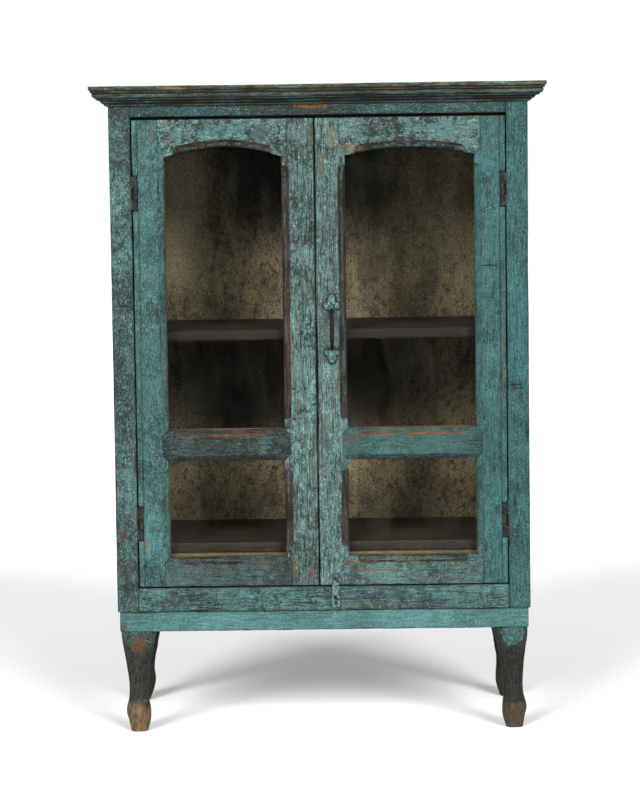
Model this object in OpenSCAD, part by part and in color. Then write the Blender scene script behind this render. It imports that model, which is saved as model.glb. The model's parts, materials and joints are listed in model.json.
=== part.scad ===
// Painted cabinet on four shaped legs, with a pair of glazed doors, one shelf and a strap hasp.
// Millimetres, +Z up, doors facing -Y. The origin is on the floor, at the middle of the footprint.

/* [Case] */
// Height from the floor to the top of the cornice
overall_h = 1290; // [1040:1:1600]
// Width across the corner posts
case_w = 824; // [680:1:1000]
// Depth from the face frame to the back boards
case_d = 400; // [320:1:500]
// Side of the square corner posts
post = 43; // [36:1:52]
// Height of the face frame's bottom rail
frame_bottom_h = 48; // [36:1:70]
// Height of the face frame's top rail that shows under the cornice
frame_top_show = 22; // [14:1:60]
// Thickness of the top board
top_t = 18; // [12:1:24]
// Height of the top and bottom rails of the sides and the back
side_rail_h = 70; // [50:1:90]
// Thickness of the side and back rails
side_rail_t = 30; // [24:1:34]
// Thickness of the side panels
side_panel_t = 12; // [6:1:14]
// Thickness of the back boards
back_t = 12; // [8:1:16]
// Number of back boards
back_count = 4; // [2:1:6]

/* [Stand] */
// Height of the legs below the base rails
leg_h = 206; // [170:1:250]
// Height of the base rails
base_rail_h = 40; // [30:1:60]
// Thickness of the base rails
base_rail_t = 22; // [16:1:26]
// Distance of the base rails behind the case's outer faces
base_inset = 4; // [0:1:8]
// Side of the square block at the top of a leg
leg_block = 46; // [36:1:60]
// Width of a leg under the base rail
leg_top_w = 68; // [54:1:76]
// Width of a leg at the ankle
ankle_w = 39; // [30:1:46]
// Height of the ankle above the floor
ankle_z = 70; // [62:1:90]
// Width of the foot's ball
ball_w = 50; // [42:1:58]
// Height of the foot's widest point
ball_z = 43; // [34:1:50]
// Width of the foot on the floor
foot_w = 35; // [28:1:42]
// Distance that the rear feet stand further out than the front feet
rear_splay = 14; // [0:1:18]

/* [Cornice] */
// Height of the cornice
cornice_h = 40; // [30:1:60]
// Distance that the cornice stands out from the case
cornice_out = 40; // [39:1:60]
// Height of the square nose at the top
nose_h = 9; // [6:1:14]
// Width of the small bead at the bottom
bead_out = 12; // [8:1:16]

/* [Doors] */
// Width of the left door
left_door_w = 357; // [290:1:450]
// Thickness of the doors
door_t = 25; // [22:1:30]
// Gap between a door and the face frame
door_gap = 2.5; // [2.3:0.1:4]
// Gap between the doors
meeting_gap = 3; // [2:0.1:5]
// Width of the left door's stile at the hinges
left_hinge_stile_w = 62; // [50:1:75]
// Width of the left door's stile at the meeting edge
left_meeting_stile_w = 64; // [50:1:75]
// Width of the right door's stile at the hinges
right_hinge_stile_w = 60; // [50:1:75]
// Width of the right door's stile at the meeting edge
right_meeting_stile_w = 58; // [50:1:75]
// Height of the top rails at the stiles
top_rail_h = 76; // [60:1:95]
// Rise of the arch in the left door
left_arch = 20; // [8:1:30]
// Rise of the arch in the right door
right_arch = 15; // [8:1:30]
// Height of the middle rails
mid_rail_h = 63; // [50:1:80]
// Height of the bottom rails
bottom_rail_h = 59; // [50:1:80]
// Height of the lower panes
lower_pane_h = 192; // [120:1:260]
// Width of the stopped chamfers round the panes
chamfer_w = 12; // [6:1:15]
// Depth of the stopped chamfers
chamfer_d = 8; // [4:1:10]
// Distance from a pane's corner to the end of a chamfer
chamfer_stop = 20; // [14:1:30]
// Distance that a rail's mitred end goes into the stile
haunch = 11; // [9:1:14]
// Thickness of the panes
glass_t = 3; // [2:0.5:4]
// Width of the rebate that holds a pane
rebate = 8; // [6:1:9]

/* [Inside] */
// Height of the floor's upper face
floor_z = 380; // [350:1:420]
// Height of the shelf's upper face
shelf_z = 806; // [560:1:980]
// Thickness of the floor and the shelf
shelf_t = 20; // [14:1:26]
// Distance of the floor's and the shelf's front edge behind the face
shelf_back = 38; // [34:1:90]
// Side of the cleats under the floor and the shelf
cleat = 20; // [14:1:26]

/* [Hinges] */
// Height of a hinge
hinge_h = 66; // [50:1:90]
// Outer diameter of a hinge's barrel
barrel_d = 10; // [9:0.5:10]
// Diameter of a hinge pin
pin_d = 5; // [4:0.1:5.5]
// Thickness of the hinge leaves
leaf_t = 1.9; // [1.5:0.1:2]
// Distance from a door's top edge to the middle of its upper hinge
hinge_from_top = 145; // [90:1:220]
// Distance from a door's bottom edge to the middle of its lower hinge
hinge_from_bottom = 127; // [90:1:220]

/* [Handle and hasp] */
// Height of the middle of the handle above the floor
handle_z = 807; // [680:1:900]
// Distance between the two ends of the grip
handle_span = 88; // [76:1:130]
// Diameter of the grip
grip_d = 9; // [7:0.5:12]
// Distance from the door to the middle of the grip
grip_out = 31; // [24:1:33]
// Thickness of the handle's end plates
plate_t = 3.5; // [2:0.5:4]
// Height of the hasp's pivot above the door's bottom edge
hasp_up = 18; // [14:1:40]
// Length of the hasp from its pivot
hasp_l = 63; // [50:1:80]
// Width of the hasp's strap
hasp_w = 13; // [11:1:16]
// Width of the hasp's round end
hasp_end_w = 17; // [15:1:20]
// Thickness of the hasp's strap
hasp_t = 2.5; // [2:0.5:4]
// Diameter of the staple's wire
staple_d = 4; // [3:0.5:5]

/* [Fits] */
// Gap round a tenon in its mortise
tenon_fit = 0.2; // [0.1:0.1:0.5]
// Gap round a panel, a pane or a shelf in its place
panel_fit = 0.5; // [0.3:0.1:1]
// Gap between a door's back and the strips that it closes against
stop_fit = 1; // [0.8:0.1:2]
// Gap round a screw or a nail in the wood
screw_fit = 0.05; // [0.02:0.01:0.1]
// Gap round a pin in its knuckles
pin_fit = 0.05; // [0.02:0.01:0.1]
// Gap between the parts of a hinge
hinge_fit = 0.3; // [0.25:0.05:0.5]

/* [Hidden] */
$fn = 48;
eps = 0.01;
paint = "#4c8f8c";
dark_paint = "#34605c";
bare = "#6d5136";
iron = "#3b2c25";

// Levels and faces that everything else is placed from
right = case_w / 2;
front = -(case_d + cornice_out) / 2 + cornice_out;
back = front + case_d;
case_z = leg_h + base_rail_h;
opening_z = case_z + frame_bottom_h;
cornice_z = overall_h - cornice_h;
opening_top = cornice_z - frame_top_show;
top_z = overall_h - top_t;
open_w = case_w - 2 * post;
boards_y = back - back_t;
frame_t = door_t + stop_fit;

// Doors
door_z = opening_z + door_gap + 0.5;
door_h = opening_top - door_gap - 0.5 - door_z;
right_door_w = open_w - 2 * door_gap - meeting_gap - left_door_w;
mid_z = bottom_rail_h + lower_pane_h;
upper_z = mid_z + mid_rail_h;
spring_z = door_h - top_rail_h;
glass_y = door_t / 2 + 1;
tenon_t = 8;
tenon_l = 18;
tenon_inset = 12;

// Hinges
axis_in = barrel_d / 2;
knuckle_h = hinge_h / 3;
pin_head_h = 1.5;
leaf_d = 24;
frame_leaf_x = -door_gap - 0.8;
door_leaf_x = frame_leaf_x + leaf_t + 0.5;
screw_d = 3.2;
screw_head_d = 6;
screw_l = 16;

// Floor, shelf and door stops
floor_front = front + shelf_back;
stop_t = 18;
stop_lap = 12;

// Handle and hasp
handle_u = right_meeting_stile_w / 2;
lobe_r = 8;
lobe_drop = 16;
nail_d = 2.4;
hasp_in = 30;
hasp_z = door_z + hasp_up;
hasp_x = right - post - door_gap - right_door_w + hasp_in;
hasp_y = front - 5.5;
eye_d = 8.6;
eye_w = 8.4;
staple_w = eye_w + 2 * hinge_fit + staple_d;

LEFT = [left_door_w, left_hinge_stile_w, left_meeting_stile_w, left_arch];
RIGHT = [right_door_w, right_hinge_stile_w, right_meeting_stile_w, right_arch];
HINGE_Z = [hinge_from_bottom, door_h - hinge_from_top];

// ---------- shared shapes ----------

// A box between two opposite corners
module block(low, high) translate(low) cube(high - low);

// Keeps a left-hand piece, or mirrors it to the right when side is 1
module on_side(side) {
    if (side < 0) children();
    else mirror([1, 0, 0]) children();
}

// A round bar along Z, Y or X from a point
module bar(p, d, l, axis = "z")
    translate(p) rotate(axis == "z" ? [0, 0, 0] : axis == "y" ? [-90, 0, 0] : [0, 90, 0])
        cylinder(d = d, h = l);

// ---------- legs ----------

// Sections of a leg: height, gap to the case's outer face, width and squareness
LEG = [
    [0, base_inset + 18.5, foot_w, 3],
    [ball_z / 2, base_inset + 14, (foot_w + ball_w) / 2 + 2, 2.6],
    [ball_z, base_inset + 9, ball_w, 2.4],
    [ankle_z, base_inset + 15, ankle_w, 2.8],
    [ankle_z + 35, base_inset + 14, ankle_w + 2, 3.4],
    [ankle_z + 85, base_inset + 7, (ankle_w + leg_top_w) / 2, 4],
    [leg_h, base_inset + 1, leg_top_w, 9]
];
function key(z, i = 0) = i >= len(LEG) - 2 || z < LEG[i + 1][0] ? i : key(z, i + 1);
function slope(i, c) = i == 0 || i == len(LEG) - 1 ? 0
    : (LEG[i + 1][c] - LEG[i - 1][c]) / (LEG[i + 1][0] - LEG[i - 1][0]);
function hermite(t, a, b, m, n) = a * (2 * t * t * t - 3 * t * t + 1) + b * (3 * t * t - 2 * t * t * t)
    + m * (t * t * t - 2 * t * t + t) + n * (t * t * t - t * t);
function leg_value(z, c) = let (
    i = key(z),
    span = LEG[i + 1][0] - LEG[i][0]
) hermite((z - LEG[i][0]) / span, LEG[i][c], LEG[i + 1][c], slope(i, c) * span, slope(i + 1, c) * span);
function power(v, n) = sign(v) * pow(abs(v), 2 / n);
function leg_ring(z, sides, splay) = let (
    w = leg_value(z, 2),
    c = leg_value(z, 1) + w / 2,
    n = leg_value(z, 3),
    out = splay * pow(1 - z / leg_h, 1.5)
) [for (k = [0:sides - 1]) [
    -right + c - out + w / 2 * power(cos(360 * k / sides), n),
    front + c + w / 2 * power(sin(360 * k / sides), n),
    z
]];

// The left front leg, or with splay the left rear one before it is turned round
module leg(splay = 0, rings = 26, sides = 24) {
    points = [for (r = [0:rings]) each leg_ring(leg_h * r / rings, sides, splay)];
    faces = concat(
        [[for (k = [0:sides - 1]) k]],
        [for (r = [0:rings - 1], k = [0:sides - 1]) let (n = (k + 1) % sides)
            [r * sides + k, (r + 1) * sides + k, (r + 1) * sides + n, r * sides + n]],
        [[for (k = [sides - 1:-1:0]) rings * sides + k]]
    );
    inset = base_inset + base_rail_t;
    color(dark_paint) union() {
        polyhedron(points, faces);
        block([-right + inset, front + inset, leg_h - eps],
            [-right + inset + leg_block, front + inset + leg_block, case_z]);
    }
}
module rear_leg() translate([0, front + back, 0]) mirror([0, 1, 0]) leg(rear_splay);

// ---------- stand ----------

module base_rail_across(y) color(paint)
    block([-right + base_inset, y, leg_h], [right - base_inset, y + base_rail_t, case_z]);
module base_rail_side() color(paint)
    block([-right + base_inset, front + base_inset + base_rail_t, leg_h],
        [-right + base_inset + base_rail_t, back - base_inset - base_rail_t, case_z]);

// ---------- case ----------

// Tenons of the rails that run across, into the left post at depth y
module cross_tenon(y, z0, z1, fit = 0)
    block([-right + post - 20 - fit, y - fit, z0 - fit], [-right + post + fit, y + tenon_t + fit, z1 + fit]);

// Tenons of the left side's rails, at both ends
module side_tenons(z0, z1, fit = 0)
    block([-right + 11 - fit, front + post - 15 - fit, z0 - fit],
        [-right + 11 + tenon_t + fit, back - post + 15 + fit, z1 + fit]);

// The left side panel, or its groove
module side_sheet(fit = 0, tongue = 8)
    block([-right + 8 - fit, front + post - tongue - fit, case_z + side_rail_h - tongue - fit],
        [-right + 8 + side_panel_t + fit, back - post + tongue + fit, top_z - side_rail_h + tongue + fit]);

front_tenon_y = front + 9;
rear_tenon_y = boards_y - 18;
FRONT_TENONS = [[case_z + 8, opening_z - 8], [opening_top + 8, top_z - 8]];
REAR_TENONS = [[case_z + tenon_inset, case_z + side_rail_h - tenon_inset],
    [top_z - side_rail_h + tenon_inset, top_z - tenon_inset]];

module side_mortises() {
    for (z = REAR_TENONS) side_tenons(z[0], z[1], tenon_fit);
    side_sheet(panel_fit);
}

module front_post() color(paint) difference() {
    block([-right, front, case_z], [-right + post, front + post, top_z]);
    for (z = FRONT_TENONS) cross_tenon(front_tenon_y, z[0], z[1], tenon_fit);
    side_mortises();
    in_left_door() for (z = HINGE_Z) {
        frame_leaf_plate(z);
        leaf_screws(z, frame_leaf_x + leaf_t, -1, screw_fit);
    }
}
module rear_post() color(paint) difference() {
    block([-right, back - post, case_z], [-right + post, back, top_z]);
    for (z = REAR_TENONS) cross_tenon(rear_tenon_y, z[0], z[1], tenon_fit);
    side_mortises();
    block([-right + post - 20 - panel_fit, boards_y, case_z - eps], [-right + post + eps, back + eps, top_z + eps]);
}

// A rail across the case, with a tenon at each end
module cross_rail(y0, y1, z0, z1, tenon_y, tenon_z) {
    block([-right + post, y0, z0], [right - post, y1, z1]);
    for (side = [-1, 1]) on_side(side) cross_tenon(tenon_y, tenon_z[0], tenon_z[1]);
}
module frame_top_rail() color(paint)
    cross_rail(front, front + frame_t, opening_top, top_z, front_tenon_y, FRONT_TENONS[1]);
module frame_bottom_rail() color(paint) difference() {
    cross_rail(front, front + frame_t, case_z, opening_z, front_tenon_y, FRONT_TENONS[0]);
    // The hole that the hasp was once pinned through
    bar([hasp_x - 17, front - eps, opening_z - 8], 9, 14, "y");
}
module rear_rail(z0, z1, tenon_z) color(bare)
    cross_rail(boards_y - side_rail_t + 2, boards_y, z0, z1, rear_tenon_y, tenon_z);

// A rail of the left side, with its groove for the panel
module side_rail(z0, z1, tenon_z) color(paint) difference() {
    union() {
        block([-right, front + post, z0], [-right + side_rail_t, back - post, z1]);
        side_tenons(tenon_z[0], tenon_z[1]);
    }
    side_sheet(panel_fit);
}
module side_top_rail() side_rail(top_z - side_rail_h, top_z, REAR_TENONS[1]);
module side_bottom_rail() side_rail(case_z, case_z + side_rail_h, REAR_TENONS[0]);
module side_panel() color(paint) side_sheet();

module back_boards() color(bare) {
    x0 = -right + post - 20;
    w = -2 * x0 / back_count;
    for (i = [0:back_count - 1])
        block([x0 + i * w + panel_fit / 2, boards_y, case_z], [x0 + (i + 1) * w - panel_fit / 2, back, top_z]);
}
module top_board() color(dark_paint) block([-right, front, top_z], [right, back, overall_h]);

// A shelf's outline, notched round the posts and clear of the side panels
module shelf_outline(y0) {
    wide = right - 8 - side_panel_t - panel_fit;
    narrow = right - post - panel_fit;
    translate([-narrow, y0]) square([2 * narrow, boards_y - panel_fit - y0]);
    translate([-wide, front + post + panel_fit]) square([2 * wide, case_d - 2 * post - 2 * panel_fit]);
}
module floor_boards() color(bare) difference() {
    translate([0, 0, floor_z - shelf_t]) linear_extrude(shelf_t) shelf_outline(floor_front);
    // The gap between the front board and the rear board
    block([-right, -15, floor_z - shelf_t - eps], [right, -15 + panel_fit, floor_z + eps]);
}
module shelf() color(bare)
    translate([0, 0, shelf_z - shelf_t]) linear_extrude(shelf_t) shelf_outline(floor_front);
module side_cleats() color(bare)
    for (side = [-1, 1], z = [floor_z, shelf_z]) on_side(side)
        block([-right + 8 + side_panel_t, front + post + 8, z - shelf_t - cleat],
            [-right + 8 + side_panel_t + cleat, back - post - 8, z - shelf_t]);
module shelf_back_cleat() color(bare)
    block([-right + post + panel_fit, boards_y - cleat, shelf_z - shelf_t - cleat - 5],
        [right - post - panel_fit, boards_y, shelf_z - shelf_t]);

// A strip behind the face frame that a door closes against. The lower one also closes the space under the floor.
module door_stop(z0, z1) color(bare)
    block([-right + post + panel_fit, front + frame_t, z0], [right - post - panel_fit, front + frame_t + stop_t, z1]);
module door_stop_top() door_stop(door_z + door_h - stop_lap, cornice_z);
module door_stop_bottom() door_stop(case_z + 10, floor_z - shelf_t);

// ---------- cornice ----------

// Points of an arc about c, from angle a to angle b
function arc(c, r, a, b, n = 8) = [for (i = [0:n]) c + r * [cos(a + (b - a) * i / n), sin(a + (b - a) * i / n)]];

// The cornice's section: distance out from the case, and height
cove_r = min(cornice_h - nose_h - bead_out, cornice_out - bead_out - 6);
cove_in = cornice_out - 3 - cove_r;
CORNICE = concat(
    [[0, 0], [bead_out / 2, 0], [bead_out / 2, 1.5]],
    arc([bead_out / 2, bead_out / 2 + 1.5 + 2], bead_out / 2, -90, 0, 6),
    [[cove_in - 1, bead_out / 2 + 5]],
    arc([cove_in + cove_r, cornice_h - nose_h - 2 - cove_r], cove_r, 180, 90),
    [[cornice_out - 3, cornice_h - nose_h]],
    arc([cornice_out - nose_h / 3, cornice_h - nose_h * 2 / 3], nose_h / 3, -90, 0, 4),
    [[cornice_out, cornice_h - 1], [cornice_out - 1, cornice_h], [0, cornice_h]]
);

// What lies between the cornice's two mitres, in front of the case
module mitre_wedge() {
    far = 2 * cornice_out;
    translate([0, 0, cornice_z - 1]) linear_extrude(cornice_h + 2)
        polygon([[-right, front], [right, front], [right + far, front - far], [-right - far, front - far]]);
}
module cornice_front() color(dark_paint) intersection() {
    translate([-right - cornice_out, front, cornice_z]) rotate([90, 0, 90])
        linear_extrude(case_w + 2 * cornice_out) mirror([1, 0]) polygon(CORNICE);
    mitre_wedge();
}
module cornice_side() color(dark_paint) difference() {
    translate([-right, back, cornice_z]) rotate([90, 0, 0])
        linear_extrude(case_d + cornice_out) mirror([1, 0]) polygon(CORNICE);
    mitre_wedge();
}

// ---------- doors, in their own frame: u from the hinge edge, y from the face, z from the bottom ----------

module in_left_door() translate([-right + post + door_gap, front, door_z]) children();
module in_right_door() mirror([1, 0, 0]) in_left_door() children();

// A rail's front outline, with mitred ends where it meets a pane
module rail_outline(d, z0, z1, pane_below, pane_above) {
    a = d[1];
    b = d[0] - d[2];
    low = pane_below ? haunch : 0;
    high = pane_above ? haunch : 0;
    polygon([
        [pane_below ? a : a - haunch, z0], [pane_below ? b : b + haunch, z0],
        [b + haunch, z0 + low], [b + haunch, z1 - high],
        [pane_above ? b : b + haunch, z1], [pane_above ? a : a - haunch, z1],
        [a - haunch, z1 - high], [a - haunch, z0 + low]
    ]);
}
module top_outline(d) rail_outline(d, spring_z, door_h, true, false);
module mid_outline(d) rail_outline(d, mid_z, upper_z, true, true);
module bottom_outline(d) rail_outline(d, 0, bottom_rail_h, false, true);

// Stands an outline up in the door's plane, with a thickness
module stand(y0, y1) translate([0, y1, 0]) rotate([90, 0, 0]) linear_extrude(y1 - y0) children();

// A rail's two tenons, or the mortises for them
module rail_tenons(d, z0, z1, fit = 0)
    block([d[1] - haunch - tenon_l - fit, door_t / 2 - tenon_t / 2 - fit, z0 + tenon_inset - fit],
        [d[0] - d[2] + haunch + tenon_l + fit, door_t / 2 + tenon_t / 2 + fit, z1 - tenon_inset + fit]);
module door_mortises(d) {
    rail_tenons(d, spring_z + 8, door_h, tenon_fit);
    rail_tenons(d, mid_z, upper_z, tenon_fit);
    rail_tenons(d, 0, bottom_rail_h, tenon_fit);
}

// Room for the panes and their beads, behind the face
module rebates(d) {
    u0 = d[1] - rebate;
    u1 = d[0] - d[2] + rebate;
    block([u0, glass_y, bottom_rail_h - rebate], [u1, door_t + eps, mid_z + rebate]);
    block([u0, glass_y, upper_z - rebate], [u1, door_t + eps, spring_z + d[3] + rebate]);
}

// A stopped chamfer along the whole of one edge, which runs from [0, 0] along Z
module chamfer(l) linear_extrude(l)
    polygon([[-eps, -eps], [chamfer_w, -eps], [-eps, chamfer_d]]);

// The chamfers of the two upright edges and the level edges of one pane
module pane_chamfers(d, z0, z1, level_top) {
    u0 = d[1];
    u1 = d[0] - d[2];
    l = z1 - z0 - 2 * chamfer_stop;
    translate([u0, 0, z0 + chamfer_stop]) mirror([1, 0, 0]) chamfer(l);
    translate([u1, 0, z0 + chamfer_stop]) chamfer(l);
    across = u1 - u0 - 2 * chamfer_stop;
    translate([u1 - chamfer_stop, 0, z0]) rotate([0, 90, 0]) mirror([0, 0, 1]) chamfer(across);
    if (level_top) translate([u0 + chamfer_stop, 0, z1]) rotate([0, -90, 0]) mirror([0, 0, 1]) chamfer(across);
}
module door_chamfers(d) {
    pane_chamfers(d, bottom_rail_h, mid_z, true);
    pane_chamfers(d, upper_z, spring_z, false);
}

// The arch over the upper pane, and the chamfer round it
function arch_r(d) = let (c = (d[0] - d[1] - d[2]) / 2) (c * c + d[3] * d[3]) / (2 * d[3]);
module arch_cut(d) {
    r = arch_r(d);
    middle = (d[1] + d[0] - d[2]) / 2;
    translate([middle, -eps, spring_z + d[3] - r]) rotate([-90, 0, 0]) cylinder(r = r, h = door_t + 1, $fn = 96);
    intersection() {
        translate([middle, -eps, spring_z + d[3] - r]) rotate([-90, 0, 0])
            cylinder(r1 = r + chamfer_w, r2 = r, h = chamfer_d, $fn = 96);
        block([d[1] + chamfer_stop, -1, spring_z - chamfer_w],
            [d[0] - d[2] - chamfer_stop, door_t, spring_z + d[3] + chamfer_w + 1]);
    }
}

module hinge_stile(d) color(paint) difference() {
    stand(0, door_t) difference() {
        square([d[1], door_h]);
        top_outline(d);
        mid_outline(d);
        bottom_outline(d);
    }
    door_mortises(d);
    rebates(d);
    door_chamfers(d);
    // The quirk that sets off the bead along the hinge edge
    block([barrel_d + 0.5, -eps, -eps], [barrel_d + 2, 2, door_h + eps]);
    for (z = HINGE_Z) {
        notch = axis_in + hinge_fit;
        end = hinge_h / 2 + pin_head_h + 1;
        block([-eps, -eps, z - end], [axis_in + notch, axis_in + notch, z + end]);
        door_leaf_plate(z);
        leaf_screws(z, door_leaf_x, 1, screw_fit);
    }
}
module meeting_stile(d, handle = false) color(paint) difference() {
    stand(0, door_t) difference() {
        translate([d[0] - d[2], 0]) square([d[2], door_h]);
        top_outline(d);
        mid_outline(d);
        bottom_outline(d);
    }
    door_mortises(d);
    rebates(d);
    door_chamfers(d);
    if (handle) {
        nails(screw_fit);
        staple_prongs(screw_fit);
    }
}
module top_rail(d) color(paint) difference() {
    union() {
        stand(0, door_t) top_outline(d);
        rail_tenons(d, spring_z + 8, door_h);
    }
    arch_cut(d);
    rebates(d);
}
module mid_rail(d) color(paint) difference() {
    union() {
        stand(0, door_t) mid_outline(d);
        rail_tenons(d, mid_z, upper_z);
    }
    rebates(d);
    door_chamfers(d);
}
module bottom_rail(d) color(paint) difference() {
    union() {
        stand(0, door_t) bottom_outline(d);
        rail_tenons(d, 0, bottom_rail_h);
    }
    rebates(d);
    door_chamfers(d);
}

// A pane from z0 to z1, and the beads that hold it
module pane(d, z0, z1) color("LightSteelBlue", 0.3) {
    lap = rebate - panel_fit;
    block([d[1] - lap, glass_y, z0 - lap], [d[0] - d[2] + lap, glass_y + glass_t, z1 + lap]);
}
module lower_pane(d) pane(d, bottom_rail_h, mid_z);
module upper_pane(d) pane(d, upper_z, spring_z + d[3]);
module bead_frame(d, z0, z1) {
    lap = rebate - panel_fit;
    u0 = d[1] - lap;
    u1 = d[0] - d[2] + lap;
    y0 = glass_y + glass_t;
    for (u = [u0, u1 - lap]) block([u, y0, z0 - lap], [u + lap, door_t, z1 + lap]);
    for (z = [z0 - lap, z1]) block([u0 + lap + panel_fit, y0, z], [u1 - lap - panel_fit, door_t, z + lap]);
}
module glazing_beads(d) color(bare) {
    bead_frame(d, bottom_rail_h, mid_z);
    bead_frame(d, upper_z, spring_z + d[3]);
}

// ---------- hinges ----------

// The knuckle's ring from z, with the arm that joins it to a leaf
module knuckle(z, leaf_x, y0) difference() {
    union() {
        bar([axis_in, axis_in, z], barrel_d, knuckle_h - hinge_fit);
        block([leaf_x, y0, z], [axis_in - pin_d / 2 - 1, y0 + 3.5, z + knuckle_h - hinge_fit]);
    }
    bar([axis_in, axis_in, z - eps], pin_d + 2 * pin_fit, knuckle_h);
}

// Three screws through a leaf, pointing away from the door gap
module leaf_screws(z, face, way, fit = 0)
    for (i = [-1, 0, 1]) translate([face, axis_in + 12.5, z + i * hinge_h * 0.32]) rotate([0, way * 90, 0]) {
        cylinder(d = screw_d + 2 * fit, h = screw_l + fit);
        translate([0, 0, -eps]) cylinder(d1 = screw_head_d + 2 * fit, d2 = screw_d + 2 * fit, h = leaf_t + eps);
    }
module frame_leaf_plate(z) block([frame_leaf_x, axis_in - 4, z - hinge_h / 2], [frame_leaf_x + leaf_t, leaf_d, z + hinge_h / 2]);
module door_leaf_plate(z) {
    x1 = door_leaf_x + leaf_t;
    block([door_leaf_x, axis_in + 6, z - hinge_h / 2], [x1, leaf_d, z + hinge_h / 2]);
    block([door_leaf_x, axis_in + 1, z - knuckle_h / 2 + hinge_fit / 2], [x1, leaf_d, z + knuckle_h / 2 - hinge_fit / 2]);
}
module frame_leaf(z) color(iron) difference() {
    union() {
        frame_leaf_plate(z);
        for (k = [-1, 1]) knuckle(z + k * knuckle_h - knuckle_h / 2 + hinge_fit / 2, frame_leaf_x, axis_in - 4);
    }
    leaf_screws(z, frame_leaf_x + leaf_t, -1, screw_fit);
}
module door_leaf(z) color(iron) difference() {
    union() {
        door_leaf_plate(z);
        knuckle(z - knuckle_h / 2 + hinge_fit / 2, door_leaf_x, axis_in + 1);
    }
    leaf_screws(z, door_leaf_x, 1, screw_fit);
}
module hinge_pin(z) color(iron) {
    bar([axis_in, axis_in, z - hinge_h / 2], pin_d, hinge_h);
    for (end = [z - hinge_h / 2 - pin_head_h, z + hinge_h / 2]) bar([axis_in, axis_in, end], pin_d + 3, pin_head_h);
}
module both_doors() {
    in_left_door() children();
    in_right_door() children();
}
module hinge_frame_leaves() both_doors() for (z = HINGE_Z) frame_leaf(z);
module hinge_pins() both_doors() for (z = HINGE_Z) hinge_pin(z);
module hinge_frame_screws() color(iron) both_doors()
    for (z = HINGE_Z) leaf_screws(z, frame_leaf_x + leaf_t, -1);
module door_hinge_leaves() for (z = HINGE_Z) door_leaf(z);
module door_hinge_screws() color(iron) for (z = HINGE_Z) leaf_screws(z, door_leaf_x, 1);

// ---------- handle and hasp, on the right door ----------

// Where the handle's ends and its nails are, in the door's frame
handle_mid = handle_z - door_z;
handle_c = right_door_w - handle_u;
module handle_end(way) translate([handle_c, 0, handle_mid + way * handle_span / 2]) {
    stand(-plate_t, 0) scale([1, way]) union() {
        translate([0, lobe_drop]) circle(d = 2 * lobe_r + 1);
        for (side = [-1, 1]) translate([side * (lobe_r - 0.5), 0]) circle(r = lobe_r);
        translate([-lobe_r, 0]) square([2 * lobe_r, lobe_drop]);
    }
}
module nails(fit = 0)
    for (way = [-1, 1], at = [-1, 1])
        translate([handle_c + at * (lobe_r + 0.5), -plate_t, handle_mid + way * (handle_span / 2 + 1)])
            rotate([-90, 0, 0]) cylinder(d = nail_d + 2 * fit, h = plate_t + 14 + fit);

// The grip: a straight bar with a quarter turn to the door at each end
module grip() {
    bend = 14;
    reach = handle_span / 2 - 4;
    translate([handle_c, 0, handle_mid]) {
        bar([0, -grip_out, -reach + bend], grip_d, 2 * (reach - bend));
        for (way = [0, 1]) mirror([0, 0, way]) {
            translate([0, -grip_out + bend, reach - bend]) rotate([90, 0, -90])
                rotate_extrude(angle = 90) translate([bend, 0]) circle(d = grip_d);
            bar([0, -grip_out + bend, reach], grip_d, grip_out - bend, "y");
        }
    }
}
module pull_handle() color(iron) difference() {
    union() {
        for (way = [-1, 1]) handle_end(way);
        grip();
    }
    nails(screw_fit);
}
module handle_nails() color(iron) {
    nails();
    for (way = [-1, 1], at = [-1, 1])
        translate([handle_c + at * (lobe_r + 0.5), -plate_t - 1.5, handle_mid + way * (handle_span / 2 + 1)])
            rotate([-90, 0, 0]) cylinder(d1 = nail_d + 1, d2 = nail_d + 3, h = 1.5);
}

// The staple's two prongs, slanting up into the door; in the door's frame
staple_depth = 6;
module staple_prongs(fit = 0) translate([right_door_w - hasp_in, hasp_y - front, hasp_up])
    for (side = [-1, 1]) translate([side * staple_w / 2, 0, 0]) rotate([-45, 0, 0])
        cylinder(d = staple_d + 2 * fit, h = (front - hasp_y + staple_depth) * sqrt(2) + fit);
module hasp_staple() color(iron) {
    staple_prongs();
    translate([right_door_w - hasp_in, hasp_y - front, hasp_up]) {
        bar([-staple_w / 2, 0, 0], staple_d, staple_w, "x");
        for (side = [-1, 1]) translate([side * staple_w / 2, 0, 0]) sphere(d = staple_d);
    }
}

// The hasp hangs from the staple's bar, an eye at its top and a slot in its round end
module hasp() color(iron) translate([hasp_x, hasp_y, hasp_z]) difference() {
    union() {
        bar([-eye_w / 2, 0, 0], eye_d, eye_w, "x");
        translate([0, hasp_t / 2, 0]) rotate([90, 0, 0]) linear_extrude(hasp_t) {
            translate([-eye_w / 2, -12]) square([eye_w, 12]);
            translate([-hasp_w / 2, -hasp_l + 22]) square([hasp_w, hasp_l - 22 - 9]);
            translate([-hasp_end_w / 2, -hasp_l + hasp_end_w / 2]) square([hasp_end_w, 24 - hasp_end_w / 2]);
            translate([0, -hasp_l + hasp_end_w / 2]) circle(d = hasp_end_w);
        }
    }
    bar([-eye_w, 0, 0], staple_d + 2 * pin_fit, 2 * eye_w, "x");
    // The slot that slips over a staple
    block([-3, -hasp_t, -hasp_l + 6], [3, hasp_t, -hasp_l + 22]);
}

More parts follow.
